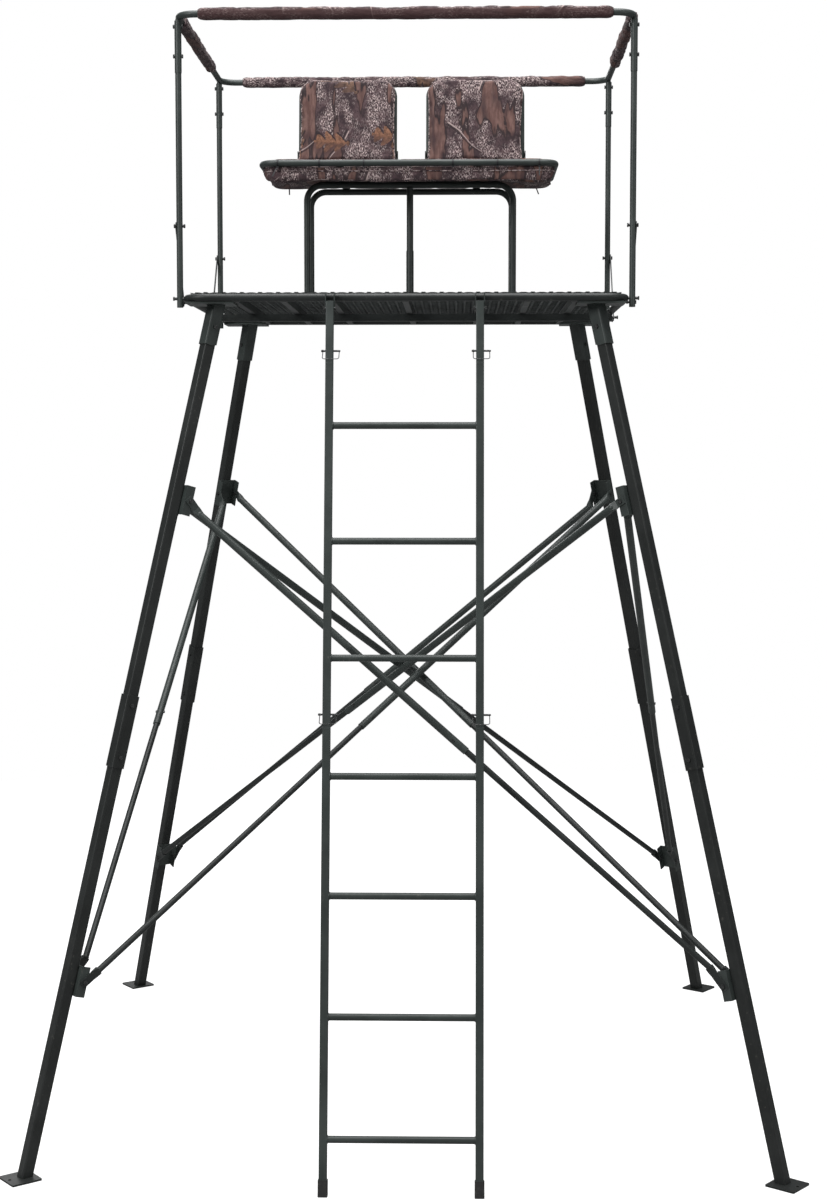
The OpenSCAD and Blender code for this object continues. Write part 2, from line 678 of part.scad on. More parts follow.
// A plate that cradles the platform's front tube, about the tube's middle
module hook_plate() rotate([90, 0, 90]) linear_extrude(hook_t) difference() {
    intersection() {
        union() {
            circle(hook_round);
            translate([-hook_round - 14, -38]) square([hook_round + 14, 38]);
            translate([-hook_round - 14, -1]) square([20, hook_clear + 1]);
        }
        translate([-3 * hook_round, -3 * hook_round]) square(3 * hook_round + hook_clear);
    }
    circle(platform_tube / 2 + 0.2);
    translate([-4, 0]) square(2 * hook_round);
}

module ladder_hooks() color(steel) {
    ladder_place() for (x = [-1, 1]) translate([x * stile_half_x, 0, 0]) difference() {
        stile(hook_joint, ladder_top_end);
        stile_socket(hook_joint);
        pin_hole(hook_joint);
        translate([0, 0, ladder_top_end - hook_bolt_drop]) rotate([0, 90, 0])
            cylinder(h = 60, r = hole_r, center = true);
    }
    place() difference() {
        for (x = [-1, 1], s = [-1, 1])
            translate([x * stile_half_x + s * (stile_side / 2 + weld + hook_t / 2) - hook_t / 2, -ring_y, platform_z])
                hook_plate();
        for (x = [-1, 1]) hook_bolt_place(x) rotate([0, 90, 0]) cylinder(h = 60, r = hole_r, center = true);
    }
}

module rung(s) translate([0, 0, s]) rotate([0, 90, 0])
    cylinder(h = 2 * stile_half_x - stile_side - 2 * weld, d = rung_d, center = true);

module ladder_upper_section() color(steel) ladder_place() {
    for (x = [-1, 1]) translate([x * stile_half_x, 0, 0]) difference() {
        union() {
            stile(mid_joint, hook_joint - weld);
            stile_tenon(hook_joint);
        }
        stile_socket(mid_joint);
        pin_hole(hook_joint);
        pin_hole(mid_joint);
    }
    for (k = [4:6]) rung(first_rung + k * rung_pitch);
}

module ladder_lower_section() color(steel) ladder_place() {
    for (x = [-1, 1]) translate([x * stile_half_x, 0, 0]) difference() {
        union() {
            stile(ladder_cap_top - 20, mid_joint - weld);
            stile_tenon(mid_joint);
        }
        pin_hole(mid_joint);
    }
    for (k = [0:3]) rung(first_rung + k * rung_pitch);
}

module ladder_feet() color([0.06, 0.06, 0.06]) intersection() {
    ladder_place() for (x = [-1, 1]) translate([x * stile_half_x, 0, 0]) difference() {
        translate([0, 0, -30]) square_bar(ladder_cap_top + 30, 2 * cap_half, 4);
        translate([0, 0, ladder_cap_top - 20 - weld]) square_bar(40, stile_side + 0.2, 2.5);
    }
    linear_extrude(200) square(4 * ladder_foot, center = true);
}

// Lock pins: k is 0 to 3, in the order of PIN_NAMES
module pin_place(k) ladder_place() translate([(k % 2 == 0 ? -1 : 1) * stile_half_x, 0, pin_s[k]]) children();

module lock_pin(k) color(zinc) pin_place(k) rotate([0, 90, 0]) {
    difference() {
        union() {
            translate([0, 0, pin_head_x + 3]) cylinder(h = pin_tip_x - pin_head_x - 6, r = pin_r);
            translate([0, 0, pin_tip_x - 3.02]) cylinder(h = 3, r1 = pin_r, r2 = 2);
            translate([0, 0, pin_head_x - 5]) cylinder(h = 9, r = pin_head_r);
        }
        rotate([0, 0, 45]) translate([0, 0, pin_head_x]) rotate([0, 90, 0])
            cylinder(h = 30, r = bail_wire / 2 + 0.08, center = true);
    }
}

// The wire loop of a pin lies in the plane that holds the pin and slopes down and forward.
// In its frame X runs along the pin, -Z down the slope and Y through the hole in the pin's head.
module pin_bail(k) color(zinc) pin_place(k) rotate([-45, 0, 0]) {
    low = -bail_drop + bail_bend;
    rod([pin_head_x, -4.4, 0], [pin_head_x, bail_side + bail_wire / 2, 0], bail_wire);
    translate([0, bail_side, 0]) {
        rod([pin_head_x, 0, low + weld], [pin_head_x, 0, -bail_wire / 2 - weld], bail_wire);
        translate([pin_head_x + bail_bend, 0, low]) mirror([1, 0, 0]) rotate([-90, 0, 0])
            elbow(bail_bend, bail_wire);
        rod([pin_head_x + bail_bend + weld, 0, -bail_drop], [pin_tip_x - bail_bend - 4 - weld, 0, -bail_drop],
            bail_wire);
        translate([pin_tip_x - bail_bend - 4, 0, low]) rotate([-90, 0, 0]) elbow(bail_bend, bail_wire);
        rod([pin_tip_x - 4, 0, low + weld], [pin_tip_x - 4, 0, 4], bail_wire);
    }
}

// Named copies
module lower_leg_left_front() lower_leg(0);
module upper_leg_left_front() upper_leg(0);
module cross_brace_outer_left_front() cross_brace(0, true);
module cross_brace_inner_left_front() cross_brace(0, false);
module lower_leg_right_front() lower_leg(1);
module upper_leg_right_front() upper_leg(1);
module cross_brace_outer_right_front() cross_brace(1, true);
module cross_brace_inner_right_front() cross_brace(1, false);
module lower_leg_left_back() lower_leg(2);
module upper_leg_left_back() upper_leg(2);
module cross_brace_outer_left_back() cross_brace(2, true);
module cross_brace_inner_left_back() cross_brace(2, false);
module lower_leg_right_back() lower_leg(3);
module upper_leg_right_back() upper_leg(3);
module cross_brace_outer_right_back() cross_brace(3, true);
module cross_brace_inner_right_back() cross_brace(3, false);
module face_brace_outer_front() face_brace(0, true);
module face_brace_inner_front() face_brace(0, false);
module face_brace_outer_right() face_brace(1, true);
module face_brace_inner_right() face_brace(1, false);
module face_brace_outer_back() face_brace(2, true);
module face_brace_inner_back() face_brace(2, false);
module face_brace_outer_left() face_brace(3, true);
module face_brace_inner_left() face_brace(3, false);
module lock_pin_upper_left() lock_pin(0);
module pin_bail_upper_left() pin_bail(0);
module lock_pin_upper_right() lock_pin(1);
module pin_bail_upper_right() pin_bail(1);
module lock_pin_lower_left() lock_pin(2);
module pin_bail_lower_left() pin_bail(2);
module lock_pin_lower_right() lock_pin(3);
module pin_bail_lower_right() pin_bail(3);

foot_plates();
lower_leg_left_front();
lower_leg_right_front();
lower_leg_left_back();
lower_leg_right_back();
upper_leg_left_front();
upper_leg_right_front();
upper_leg_left_back();
upper_leg_right_back();
leg_sleeves();
brace_brackets();
face_brace_outer_front();
face_brace_outer_right();
face_brace_outer_back();
face_brace_outer_left();
face_brace_inner_front();
face_brace_inner_right();
face_brace_inner_back();
face_brace_inner_left();
cross_brace_outer_left_front();
cross_brace_outer_right_front();
cross_brace_outer_left_back();
cross_brace_outer_right_back();
cross_brace_inner_left_front();
cross_brace_inner_right_front();
cross_brace_inner_left_back();
cross_brace_inner_right_back();
brace_bolts();
frame_bolts();
corner_sockets();
platform_frame();
deck();
rail_posts();
post_stays();
front_rail();
back_rail();
front_rail_pad();
back_rail_pad();
side_rail_pads();
seat_frame();
seat_leg_frames();
seat_cushion();
cushion_ties();
backrest_brackets();
left_backrest_frame();
right_backrest_frame();
left_backrest_pad();
right_backrest_pad();
ladder_hooks();
ladder_upper_section();
ladder_lower_section();
ladder_feet();
lock_pin_upper_left();
lock_pin_upper_right();
lock_pin_lower_left();
lock_pin_lower_right();
pin_bail_upper_left();
pin_bail_upper_right();
pin_bail_lower_left();
pin_bail_lower_right();
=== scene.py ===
"""Looks of a ladder tree stand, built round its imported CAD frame.

Metres, +Z up, the ladder on the -Y side, and +X to the right for someone who faces the ladder.
"""
import math

import bmesh
import bpy
import numpy as np
from mathutils import Matrix, Vector, noise
from mathutils.bvhtree import BVHTree
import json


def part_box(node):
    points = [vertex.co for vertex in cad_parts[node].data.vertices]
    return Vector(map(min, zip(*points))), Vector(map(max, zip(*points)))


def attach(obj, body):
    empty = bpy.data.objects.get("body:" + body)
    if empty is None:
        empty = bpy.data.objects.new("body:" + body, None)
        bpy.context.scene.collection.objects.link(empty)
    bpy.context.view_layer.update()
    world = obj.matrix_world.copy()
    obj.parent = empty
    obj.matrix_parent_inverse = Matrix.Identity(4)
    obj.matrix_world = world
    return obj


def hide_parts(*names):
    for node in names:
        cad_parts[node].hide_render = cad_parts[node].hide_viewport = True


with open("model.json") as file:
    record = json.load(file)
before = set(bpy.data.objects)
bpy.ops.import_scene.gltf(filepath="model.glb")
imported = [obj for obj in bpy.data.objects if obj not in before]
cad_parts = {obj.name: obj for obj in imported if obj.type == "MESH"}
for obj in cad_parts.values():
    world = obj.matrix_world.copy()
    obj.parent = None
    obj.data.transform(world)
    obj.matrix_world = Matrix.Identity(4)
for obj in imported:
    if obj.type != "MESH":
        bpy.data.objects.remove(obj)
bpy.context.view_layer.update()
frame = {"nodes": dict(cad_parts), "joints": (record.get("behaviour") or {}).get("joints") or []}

nodes = frame["nodes"]
scene = bpy.context.scene
MM = 0.001
CLOTH_MAP = "cloth"
BACKREST_LEAN = math.radians(8)
PAD_LOW = -16 * MM      # a backrest pad's ends, along its uprights from the pivot
PAD_HIGH = 291 * MM
PAD_CORNER = 58 * MM
TUBE_BEND = 50 * MM     # the corners of the seat's and the deck's tubes, seen from above
CLOTH_FRAMES = 20       # how long a pad's simulation runs
SURROUND_LIGHT = 0.18   # the surround's strength as a light; the camera sees it at 1
FLOOR_RADIUS = 7
FLOOR_GLOW = 0.86
TOP_PRINT = 0.7         # where the cloth on top and at the side is cut from the print
SIDE_PRINT = 0.4

# Linear colours
STEEL = (0.026, 0.032, 0.030)
# The same coat made darker: painted shade on the deck, the platform's frame, the stays, the backrest brackets
# and the inner braces
SHADED_STEEL = (0.012, 0.0145, 0.014)
# An even darker copy of the same coat: painted shade on the legs and foot plates
SHADED_LEG_STEEL = (0.011, 0.0125, 0.012)
INK = (0.010, 0.006, 0.008)
AUBERGINE = (0.022, 0.011, 0.015)
MAUVE = (0.082, 0.048, 0.053)
BARK_BROWN = (0.090, 0.042, 0.036)
DUSTY_TAN = (0.170, 0.095, 0.080)
BONE = (0.640, 0.520, 0.500)
LEAF_ORANGE = (0.300, 0.140, 0.080)
LEAF_TAN = (0.210, 0.118, 0.080)
TWIG_GREY = (0.400, 0.310, 0.295)


# Camera and light

def make_camera():
    """A 60 mm lens on a 36 mm frame, 7.1 m in front of the tower's middle and 2.3 m above the floor."""
    pitch_down, turn_left = 4.263, 1.307    # degrees
    data = bpy.data.cameras.new("camera")
    data.lens = 60
    data.sensor_width = 36
    camera = bpy.data.objects.new("camera", data)
    camera.location = (0.1728, -7.1338, 2.2554)
    camera.rotation_euler = (math.radians(90 - pitch_down), 0, math.radians(turn_left))
    scene.collection.objects.link(camera)
    scene.camera = camera


def area_light(name, place, aim, size, power):
    data = bpy.data.lights.new(name, "AREA")
    data.shape = "RECTANGLE"
    data.size, data.size_y = size
    data.energy = power
    light = bpy.data.objects.new(name, data)
    light.location = place
    light.rotation_euler = (Vector(aim) - Vector(place)).to_track_quat("-Z", "Y").to_euler()
    scene.collection.objects.link(light)


def make_stage():
    """A pale floor, a white surround that the camera sees at full strength, and soft lights round it."""
    scene.view_settings.view_transform = "Standard"
    world = bpy.data.worlds.new("studio")
    world.use_nodes = True
    scene.world = world
    tree = world.node_tree
    tree.nodes.clear()
    shown = tree.nodes.new("ShaderNodeBackground")
    shown.inputs["Color"].default_value = (1.0, 1.0, 1.0, 1)
    lighting = tree.nodes.new("ShaderNodeBackground")
    lighting.inputs["Color"].default_value = (0.96, 0.98, 1.0, 1)
    lighting.inputs["Strength"].default_value = SURROUND_LIGHT
    path = tree.nodes.new("ShaderNodeLightPath")
    choose = tree.nodes.new("ShaderNodeMixShader")
    output = tree.nodes.new("ShaderNodeOutputWorld")
    tree.links.new(path.outputs["Is Camera Ray"], choose.inputs[0])
    tree.links.new(lighting.outputs[0], choose.inputs[1])
    tree.links.new(shown.outputs[0], choose.inputs[2])
    tree.links.new(choose.outputs[0], output.inputs["Surface"])
    area_light("top_light", (0, -1.0, 9.0), (0, 0, 1.5), (7, 7), 1100)
    area_light("key_light", (-5.5, -7.0, 6.0), (0, 0, 2.2), (3, 3), 470)
    area_light("fill_light", (6.5, -6.0, 3.5), (0, 0, 2.0), (3, 3), 100)
    area_light("back_light", (-3.0, 7.5, 5.5), (0, 0, 2.2), (5, 4), 180)

    mesh = bpy.data.meshes.new("floor")
    edit = bmesh.new()
    bmesh.ops.create_circle(edit, cap_ends=True, segments=96, radius=FLOOR_RADIUS)
    bmesh.ops.translate(edit, verts=edit.verts, vec=(0, 0, -0.5 * MM))
    edit.to_mesh(mesh)
    edit.free()
    floor = bpy.data.objects.new("floor", mesh)
    scene.collection.objects.link(floor)
    mesh.materials.append(floor_paper())


# Materials

class Shader:
    """Builds one material's nodes; its calls return sockets, and take sockets or plain values."""

    def __init__(self, name):
        self.material = bpy.data.materials.new(name)
        self.material.use_nodes = True
        self.tree = self.material.node_tree
        self.surface = self.tree.nodes["Principled BSDF"]

    def node(self, kind, **settings):
        made = self.tree.nodes.new("ShaderNode" + kind)
        for key, value in settings.items():
            setattr(made, key, value)
        return made

    def put(self, value, socket):
        if isinstance(value, bpy.types.NodeSocket):
            self.tree.links.new(value, socket)
        elif isinstance(value, tuple) and len(value) == 3 and socket.type == "RGBA":
            socket.default_value = (*value, 1)
        else:
            socket.default_value = value

    def math(self, operation, a, b=0.0, c=0.0):
        made = self.node("Math", operation=operation)
        for value, socket in zip((a, b, c), made.inputs):
            self.put(value, socket)
        return made.outputs[0]

    def vector(self, operation, a, b=(0.0, 0.0, 0.0)):
        made = self.node("VectorMath", operation=operation)
        self.put(a, made.inputs[0])
        self.put(b, made.inputs[1])
        return made.outputs["Value" if operation == "DOT_PRODUCT" else "Vector"]

    def step(self, value, low, high):
        """0 below low, 1 above high, and smooth in between."""
        made = self.node("MapRange", interpolation_type="SMOOTHSTEP")
        self.put(value, made.inputs["Value"])
        made.inputs["From Min"].default_value = low
        made.inputs["From Max"].default_value = high
        return made.outputs[0]

    def mix(self, share, a, b):
        made = self.node("Mix", data_type="RGBA")
        self.put(share, made.inputs[0])
        self.put(a, made.inputs[6])
        self.put(b, made.inputs[7])
        return made.outputs[2]

    def noise(self, vector, scale, detail=2.0, roughness=0.5):
        made = self.node("TexNoise")
        self.put(vector, made.inputs["Vector"])
        made.inputs["Scale"].default_value = scale
        made.inputs["Detail"].default_value = detail
        made.inputs["Roughness"].default_value = roughness
        return made.outputs[0]

    def split(self, vector):
        made = self.node("SeparateXYZ")
        self.put(vector, made.inputs[0])
        return made.outputs

    def bump(self, height, distance, under=None):
        made = self.node("Bump")
        self.put(height, made.inputs["Height"])
        made.inputs["Distance"].default_value = distance
        if under is not None:
            self.put(under, made.inputs["Normal"])
        return made.outputs[0]

    def finish(self, **values):
        """Sets the surface's sockets: Base_Color=... stands for "Base Color"."""
        for key, value in values.items():
            self.put(value, self.surface.inputs[key.replace("_", " ")])
        return self.material


def object_place(shader):
    return shader.node("TexCoord").outputs["Object"]


def edges(shader, radius):
    """1 on the object's edges and corners, 0 on its flats."""
    bevel = shader.node("Bevel", samples=3)
    bevel.inputs["Radius"].default_value = radius
    flat = shader.node("NewGeometry").outputs["Normal"]
    turn = shader.vector("DOT_PRODUCT", bevel.outputs[0], flat)
    return shader.step(shader.math("SUBTRACT", 1.0, turn), 0.02, 0.16)


def powder_coat(name, colour, roughness=0.42):
    """Matt powder coat with orange peel, faint blotches, rubbed edges and a few dusty scuffs."""
    s = Shader(name)
    place = object_place(s)
    lighter = tuple(c * 1.45 + 0.004 for c in colour)
    blotch = s.step(s.noise(place, 7, 4, 0.6), 0.3, 0.75)
    coat = s.mix(blotch, colour, lighter)
    scuff = s.step(s.noise(place, 70, 5, 0.68), 0.60, 0.72)
    dust = s.math("MULTIPLY", scuff, s.step(s.noise(place, 4, 2), 0.48, 0.62))
    coat = s.mix(s.math("MULTIPLY", dust, 0.35), coat, (0.16, 0.15, 0.13))
    rubbed = s.math("MULTIPLY", edges(s, 1.6 * MM), s.step(s.noise(place, 45, 4, 0.6), 0.45, 0.62))
    coat = s.mix(s.math("MULTIPLY", rubbed, 0.55), coat, (0.17, 0.18, 0.18))
    rough = s.math("MULTIPLY_ADD", s.noise(place, 22, 4, 0.6), 0.22, roughness - 0.11)
    peel = s.math("ADD", s.noise(place, 620, 2), s.math("MULTIPLY", s.noise(place, 190, 1), 0.6))
    return s.finish(Base_Color=coat, Roughness=rough, Normal=s.bump(peel, 0.10 * MM),
                    Specular_IOR_Level=0.3)


def zinc_plate(name, colour):
    """Black zinc on bolts, pins and wire, with a thin grey bloom."""
    s = Shader(name)
    place = object_place(s)
    bloom = s.step(s.noise(place, 260, 4, 0.65), 0.42, 0.7)
    plate = s.mix(bloom, colour, tuple(c * 2.6 + 0.02 for c in colour))
    rubbed = s.math("MULTIPLY", edges(s, 0.8 * MM), s.step(s.noise(place, 180, 3), 0.4, 0.6))
    plate = s.mix(s.math("MULTIPLY", rubbed, 0.6), plate, (0.30, 0.30, 0.29))
    rough = s.math("MULTIPLY_ADD", s.noise(place, 120, 3), 0.3, 0.22)
    return s.finish(Base_Color=plate, Roughness=rough, Metallic=0.75,
                    Normal=s.bump(s.noise(place, 900, 2), 0.04 * MM))


def rubber(name):
    """Black rubber with a fine grain and pale dust."""
    s = Shader(name)
    place = object_place(s)
    dust = s.step(s.noise(place, 55, 5, 0.7), 0.5, 0.75)
    colour = s.mix(s.math("MULTIPLY", dust, 0.5), (0.012, 0.012, 0.012), (0.075, 0.070, 0.062))
    return s.finish(Base_Color=colour, Roughness=0.78, Normal=s.bump(s.noise(place, 800, 3), 0.12 * MM))


def black_nylon(name):
    s = Shader(name)
    place = object_place(s)
    colour = s.mix(s.noise(place, 90, 3), (0.008, 0.008, 0.009), (0.026, 0.026, 0.028))
    rough = s.math("MULTIPLY_ADD", s.noise(place, 300, 2), 0.2, 0.5)
    return s.finish(Base_Color=colour, Roughness=rough, Normal=s.bump(s.noise(place, 500, 2), 0.05 * MM),
                    Specular_IOR_Level=0.25)


def floor_paper():
    """Grey paper that glows for the camera alone, so it shows white and throws little light up."""
    s = Shader("floor_paper")
    place = object_place(s)
    shade = s.noise(place, 3, 3)
    material = s.finish(Base_Color=s.mix(shade, (0.29, 0.29, 0.29), (0.31, 0.31, 0.31)), Roughness=0.9)
    glow = s.node("Emission")
    s.put(s.mix(shade, (0.99, 0.99, 0.99), (1.0, 1.0, 1.0)), glow.inputs["Color"])
    glow.inputs["Strength"].default_value = FLOOR_GLOW
    both = s.node("AddShader")
    s.tree.links.new(s.surface.outputs[0], both.inputs[0])
    s.tree.links.new(glow.outputs[0], both.inputs[1])
    choose = s.node("MixShader")
    s.tree.links.new(s.node("LightPath").outputs["Is Camera Ray"], choose.inputs[0])
    s.tree.links.new(s.surface.outputs[0], choose.inputs[1])
    s.tree.links.new(both.outputs[0], choose.inputs[2])
    s.tree.links.new(choose.outputs[0], s.tree.nodes["Material Output"].inputs["Surface"])
    return material


def scatter(shader, flat, per_metre, shift):
    """Local coordinates of randomly placed, randomly turned motifs: x, y and three random numbers."""
    cells = shader.node("TexVoronoi", voronoi_dimensions="2D")
    moved = shader.vector("ADD", flat, shift)
    shader.put(moved, cells.inputs["Vector"])
    cells.inputs["Scale"].default_value = per_metre
    cells.inputs["Randomness"].default_value = 0.6
    chance = shader.node("SeparateColor")
    shader.put(cells.outputs["Color"], chance.inputs[0])
    turn = shader.node("VectorRotate", rotation_type="Z_AXIS")
    shader.put(shader.vector("SUBTRACT", moved, cells.outputs["Position"]), turn.inputs["Vector"])
    shader.put(shader.math("MULTIPLY", chance.outputs[0], 2 * math.pi), turn.inputs["Angle"])
    x, y, _ = shader.split(turn.outputs[0])
    return x, y, chance.outputs


def oak_leaf(shader, x, y, half_length):
    """A leaf with forward-slanting lobes: where it is, and where its veins are."""
    along = shader.math("DIVIDE", x, half_length)
    across = shader.math("DIVIDE", shader.math("ABSOLUTE", y), half_length)
    inside = shader.math("SUBTRACT", 1.0, shader.math("MULTIPLY", along, along))
    envelope = shader.math("MULTIPLY", shader.math("SQRT", shader.math("MAXIMUM", inside, 0.0)),
                           shader.math("MULTIPLY_ADD", along, 0.16, 0.62))
    slant = shader.math("MULTIPLY_ADD", across, -0.62, along)
    wave = shader.math("COSINE", shader.math("MULTIPLY", slant, 3.6 * math.pi))
    lobes = shader.math("POWER", shader.math("MULTIPLY_ADD", wave, 0.5, 0.5), 0.55)
    width = shader.math("MULTIPLY", envelope, shader.math("MULTIPLY_ADD", lobes, 0.78, 0.16))
    shape = shader.step(shader.math("SUBTRACT", width, across), 0.0, 0.035)
    midrib = shader.math("SUBTRACT", 1.0, shader.step(across, 0.012, 0.04))
    side = shader.step(wave, 0.965, 0.995)
    return shape, shader.math("MAXIMUM", midrib, side)


def twig(shader, x, y, half_length):
    """A crooked tapering stick: where it is, and how far above its middle a point lies."""
    bend = shader.math("MULTIPLY", shader.math("SINE", shader.math("MULTIPLY", x, 46.0)), 3.4 * MM)
    level = shader.math("ADD", y, bend)
    thickness = shader.math("MULTIPLY_ADD", x, -0.020, 3.1 * MM)
    shape = shader.step(shader.math("SUBTRACT", thickness, shader.math("ABSOLUTE", level)), 0.0, 0.9 * MM)
    past_end = shader.step(shader.math("ABSOLUTE", x), 0.93 * half_length, half_length)
    return shader.math("MULTIPLY", shape, shader.math("SUBTRACT", 1.0, past_end)), level


def bark_and_trunks(s, flat):
    """Ridged bark beside smooth trunks, with a dark crack between them and gloom over parts of both."""
    tall = s.vector("MULTIPLY", flat, (1.0, 0.24, 1.0))
    zone = s.noise(tall, 12, 3, 0.5)
    bark_zone = s.step(zone, 0.43, 0.47)
    streak = s.noise(s.vector("MULTIPLY", flat, (1.0, 0.36, 1.0)), 340, 3, 0.66)
    patch = s.noise(s.vector("MULTIPLY", flat, (1.0, 0.55, 1.0)), 19, 3, 0.62)
    shade = s.mix(s.step(s.noise(flat, 34, 4, 0.62), 0.36, 0.66), AUBERGINE, MAUVE)
    pale = s.math("MULTIPLY", s.step(streak, 0.50, 0.60), s.step(patch, 0.40, 0.60))
    bark = s.mix(pale, shade, BONE)
    pits = s.math("SUBTRACT", 1.0, s.step(streak, 0.36, 0.45))
    bark = s.mix(s.math("MULTIPLY", pits, 0.85), bark, INK)
    trunk = s.mix(s.step(s.noise(tall, 70, 4, 0.6), 0.35, 0.68), BARK_BROWN, DUSTY_TAN)
    trunk = s.mix(s.math("MULTIPLY", s.step(s.noise(tall, 26, 2), 0.52, 0.7), 0.7), trunk, AUBERGINE)
    colour = s.mix(bark_zone, trunk, bark)
    crack = s.math("SUBTRACT", 1.0, s.step(s.math("ABSOLUTE", s.math("SUBTRACT", zone, 0.445)), 0.004, 0.020))
    colour = s.mix(s.math("MULTIPLY", crack, 0.9), colour, INK)
    gloom = s.step(s.noise(s.vector("ADD", flat, (3.1, 1.7, 0.0)), 8, 2), 0.52, 0.68)
    return s.mix(s.math("MULTIPLY", gloom, 0.62), colour, AUBERGINE)


def with_twigs(s, flat, colour):
    """The print with pale twigs on it, each above its own dark shadow."""
    half_length, shadow_drop = 0.085, 5.5 * MM
    x, y, _ = scatter(s, flat, 4.9, (0.31, 0.77, 0.0))
    stick, level = twig(s, x, y, half_length)
    drop, _ = twig(s, x, s.math("ADD", y, shadow_drop), half_length)
    colour = s.mix(s.math("MULTIPLY", drop, 0.8), colour, INK)
    lit = s.step(level, -2.4 * MM, 1.6 * MM)
    return s.mix(stick, colour, s.mix(lit, AUBERGINE, TWIG_GREY))


def with_leaves(s, flat, colour, leaves):
    """The print with oak leaves of two tones on it, each above its own dark shadow."""
    for turn, (shift, half_length, tone) in enumerate((((0.12, 0.05, 0.0), 0.056, LEAF_TAN),
                                                       ((0.55, 0.42, 0.0), 0.064, LEAF_ORANGE))):
        x, y, chance = scatter(s, flat, 5.4 - 0.5 * turn, shift)
        here = s.step(chance[1], 1 - leaves, 1.01 - leaves)
        ragged = s.math("MULTIPLY_ADD", s.noise(flat, 75, 3, 0.6), 9 * MM, -4.5 * MM)
        y = s.math("ADD", y, ragged)
        leaf, veins = oak_leaf(s, x, y, half_length)
        under, _ = oak_leaf(s, s.math("ADD", x, 3 * MM), s.math("ADD", y, 5 * MM), half_length)
        colour = s.mix(s.math("MULTIPLY", s.math("MULTIPLY", under, here), 0.85), colour, INK)
        blade = s.mix(s.step(s.noise(flat, 60, 5, 0.7), 0.34, 0.68), tone, tuple(c * 0.28 for c in tone))
        blade = s.mix(s.math("MULTIPLY", s.step(y, 0.0, 4 * MM), 0.45), blade, AUBERGINE)
        blade = s.mix(s.math("MULTIPLY", veins, 0.5), blade, tuple(c * 0.30 for c in tone))
        colour = s.mix(s.math("MULTIPLY", leaf, here), colour, blade)
    return colour


def camo_colour(s, flat, leaves):
    """A made-up woodland print. leaves is the share of the leaf places that hold a leaf."""
    return with_leaves(s, flat, with_twigs(s, flat, bark_and_trunks(s, flat)), leaves)


def camo_fabric(name, shift, painted_brightness=1.0, leaves=0.15, under=0.0):
    """Brushed woven polyester, printed with the woodland pattern.

    shift moves the print on the cloth; the next number, below 1, darkens it all as painted shade.
    under paints shade, brown and aubergine, on a strip of it, the lower half of a rail's sleeve.
    """
    yarn = 0.9 * MM
    s = Shader(name)
    cloth = s.node("UVMap", uv_map=CLOTH_MAP).outputs[0]
    wobble = s.math("MULTIPLY_ADD", s.noise(cloth, 90, 2), 3 * MM, -1.5 * MM)
    flat = s.vector("ADD", s.vector("ADD", cloth, shift), wobble)
    colour = camo_colour(s, flat, leaves)
    u, v, _ = s.split(cloth)
    warp = s.math("SINE", s.math("MULTIPLY", u, 2 * math.pi / yarn))
    weft = s.math("SINE", s.math("MULTIPLY", v, 2 * math.pi / yarn))
    weave = s.math("MULTIPLY", warp, weft)
    colour = s.mix(s.math("MULTIPLY_ADD", weave, 0.06, 0.06), colour, INK)
    fuzz = s.noise(cloth, 1500, 2)
    colour = s.mix(s.math("MULTIPLY", fuzz, 0.05), colour, (0.4, 0.34, 0.34))
    # Painted shade: a value below 1 darkens the whole cloth towards aubergine, a shaded copy of the same
    # fabric
    if painted_brightness != 1.0:
        colour = s.mix(1.0 - painted_brightness, colour, AUBERGINE)
    # Painted shade: the sleeve's lower part is darkened towards brown and then aubergine
    if under:
        painted_shade_strip = s.math("MULTIPLY", s.step(u, 14 * MM, 26 * MM), under)
        colour = s.mix(painted_shade_strip, colour, BARK_BROWN)
        colour = s.mix(s.math("MULTIPLY", painted_shade_strip, 0.7), colour, AUBERGINE)
    normal = s.bump(weave, 0.10 * MM, s.bump(s.noise(cloth, 38, 3, 0.5), 1.2 * MM))
    return s.finish(Base_Color=colour, Roughness=0.9, Normal=normal, Specular_IOR_Level=0.25,
                    Sheen_Weight=0.06)


def piping_fabric(name):
    """Bias-cut cloth on the cushions' edges: the same yarn, finely mottled."""
    s = Shader(name)
    place = object_place(s)
    mottle = s.step(s.noise(place, 120, 4, 0.65), 0.4, 0.62)
    colour = s.mix(mottle, AUBERGINE, (0.42, 0.33, 0.32))
    return s.finish(Base_Color=colour, Roughness=0.85, Normal=s.bump(s.noise(place, 900, 2), 0.15 * MM),
                    Specular_IOR_Level=0.25)


# Mesh helpers

def new_piece(name, mesh, material, body="root"):
    """Puts a finished mesh on its body with its material and slot."""
    piece = bpy.data.objects.new(name, mesh)
    scene.collection.objects.link(piece)
    mesh.materials.clear()
    mesh.materials.append(material)
    mesh.polygons.foreach_set("use_smooth", [True] * len(mesh.polygons))
    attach(piece, body)
    return piece


def mesh_of(name, points, faces):
    mesh = bpy.data.meshes.new(name)
    mesh.from_pydata([tuple(p) for p in points], [], faces)
    mesh.validate()
    mesh.update()
    return mesh


def grid_faces(rows, columns):
    """Quads of a grid of points that closes on itself along its columns."""
    return [(r * columns + c, r * columns + (c + 1) % columns,
             (r + 1) * columns + (c + 1) % columns, (r + 1) * columns + c)
            for r in range(rows - 1) for c in range(columns)]


def ring_mesh(name, path, radius, sides=8):
    """A round tube along a closed path of points."""
    points, count = [], len(path)
    side = None
    for k, here in enumerate(path):
        along = (path[(k + 1) % count] - path[k - 1]).normalized()
        if side is None:
            side = along.orthogonal().normalized()
        side = (side - side.dot(along) * along).normalized()
        up = along.cross(side)
        for m in range(sides):
            turn = 2 * math.pi * m / sides
            points.append(here + radius * (math.cos(turn) * side + math.sin(turn) * up))
    last = (count - 1) * sides
    faces = grid_faces(count, sides)
    faces += [(last + m, last + (m + 1) % sides, (m + 1) % sides, m) for m in range(sides)]
    return mesh_of(name, points, faces)


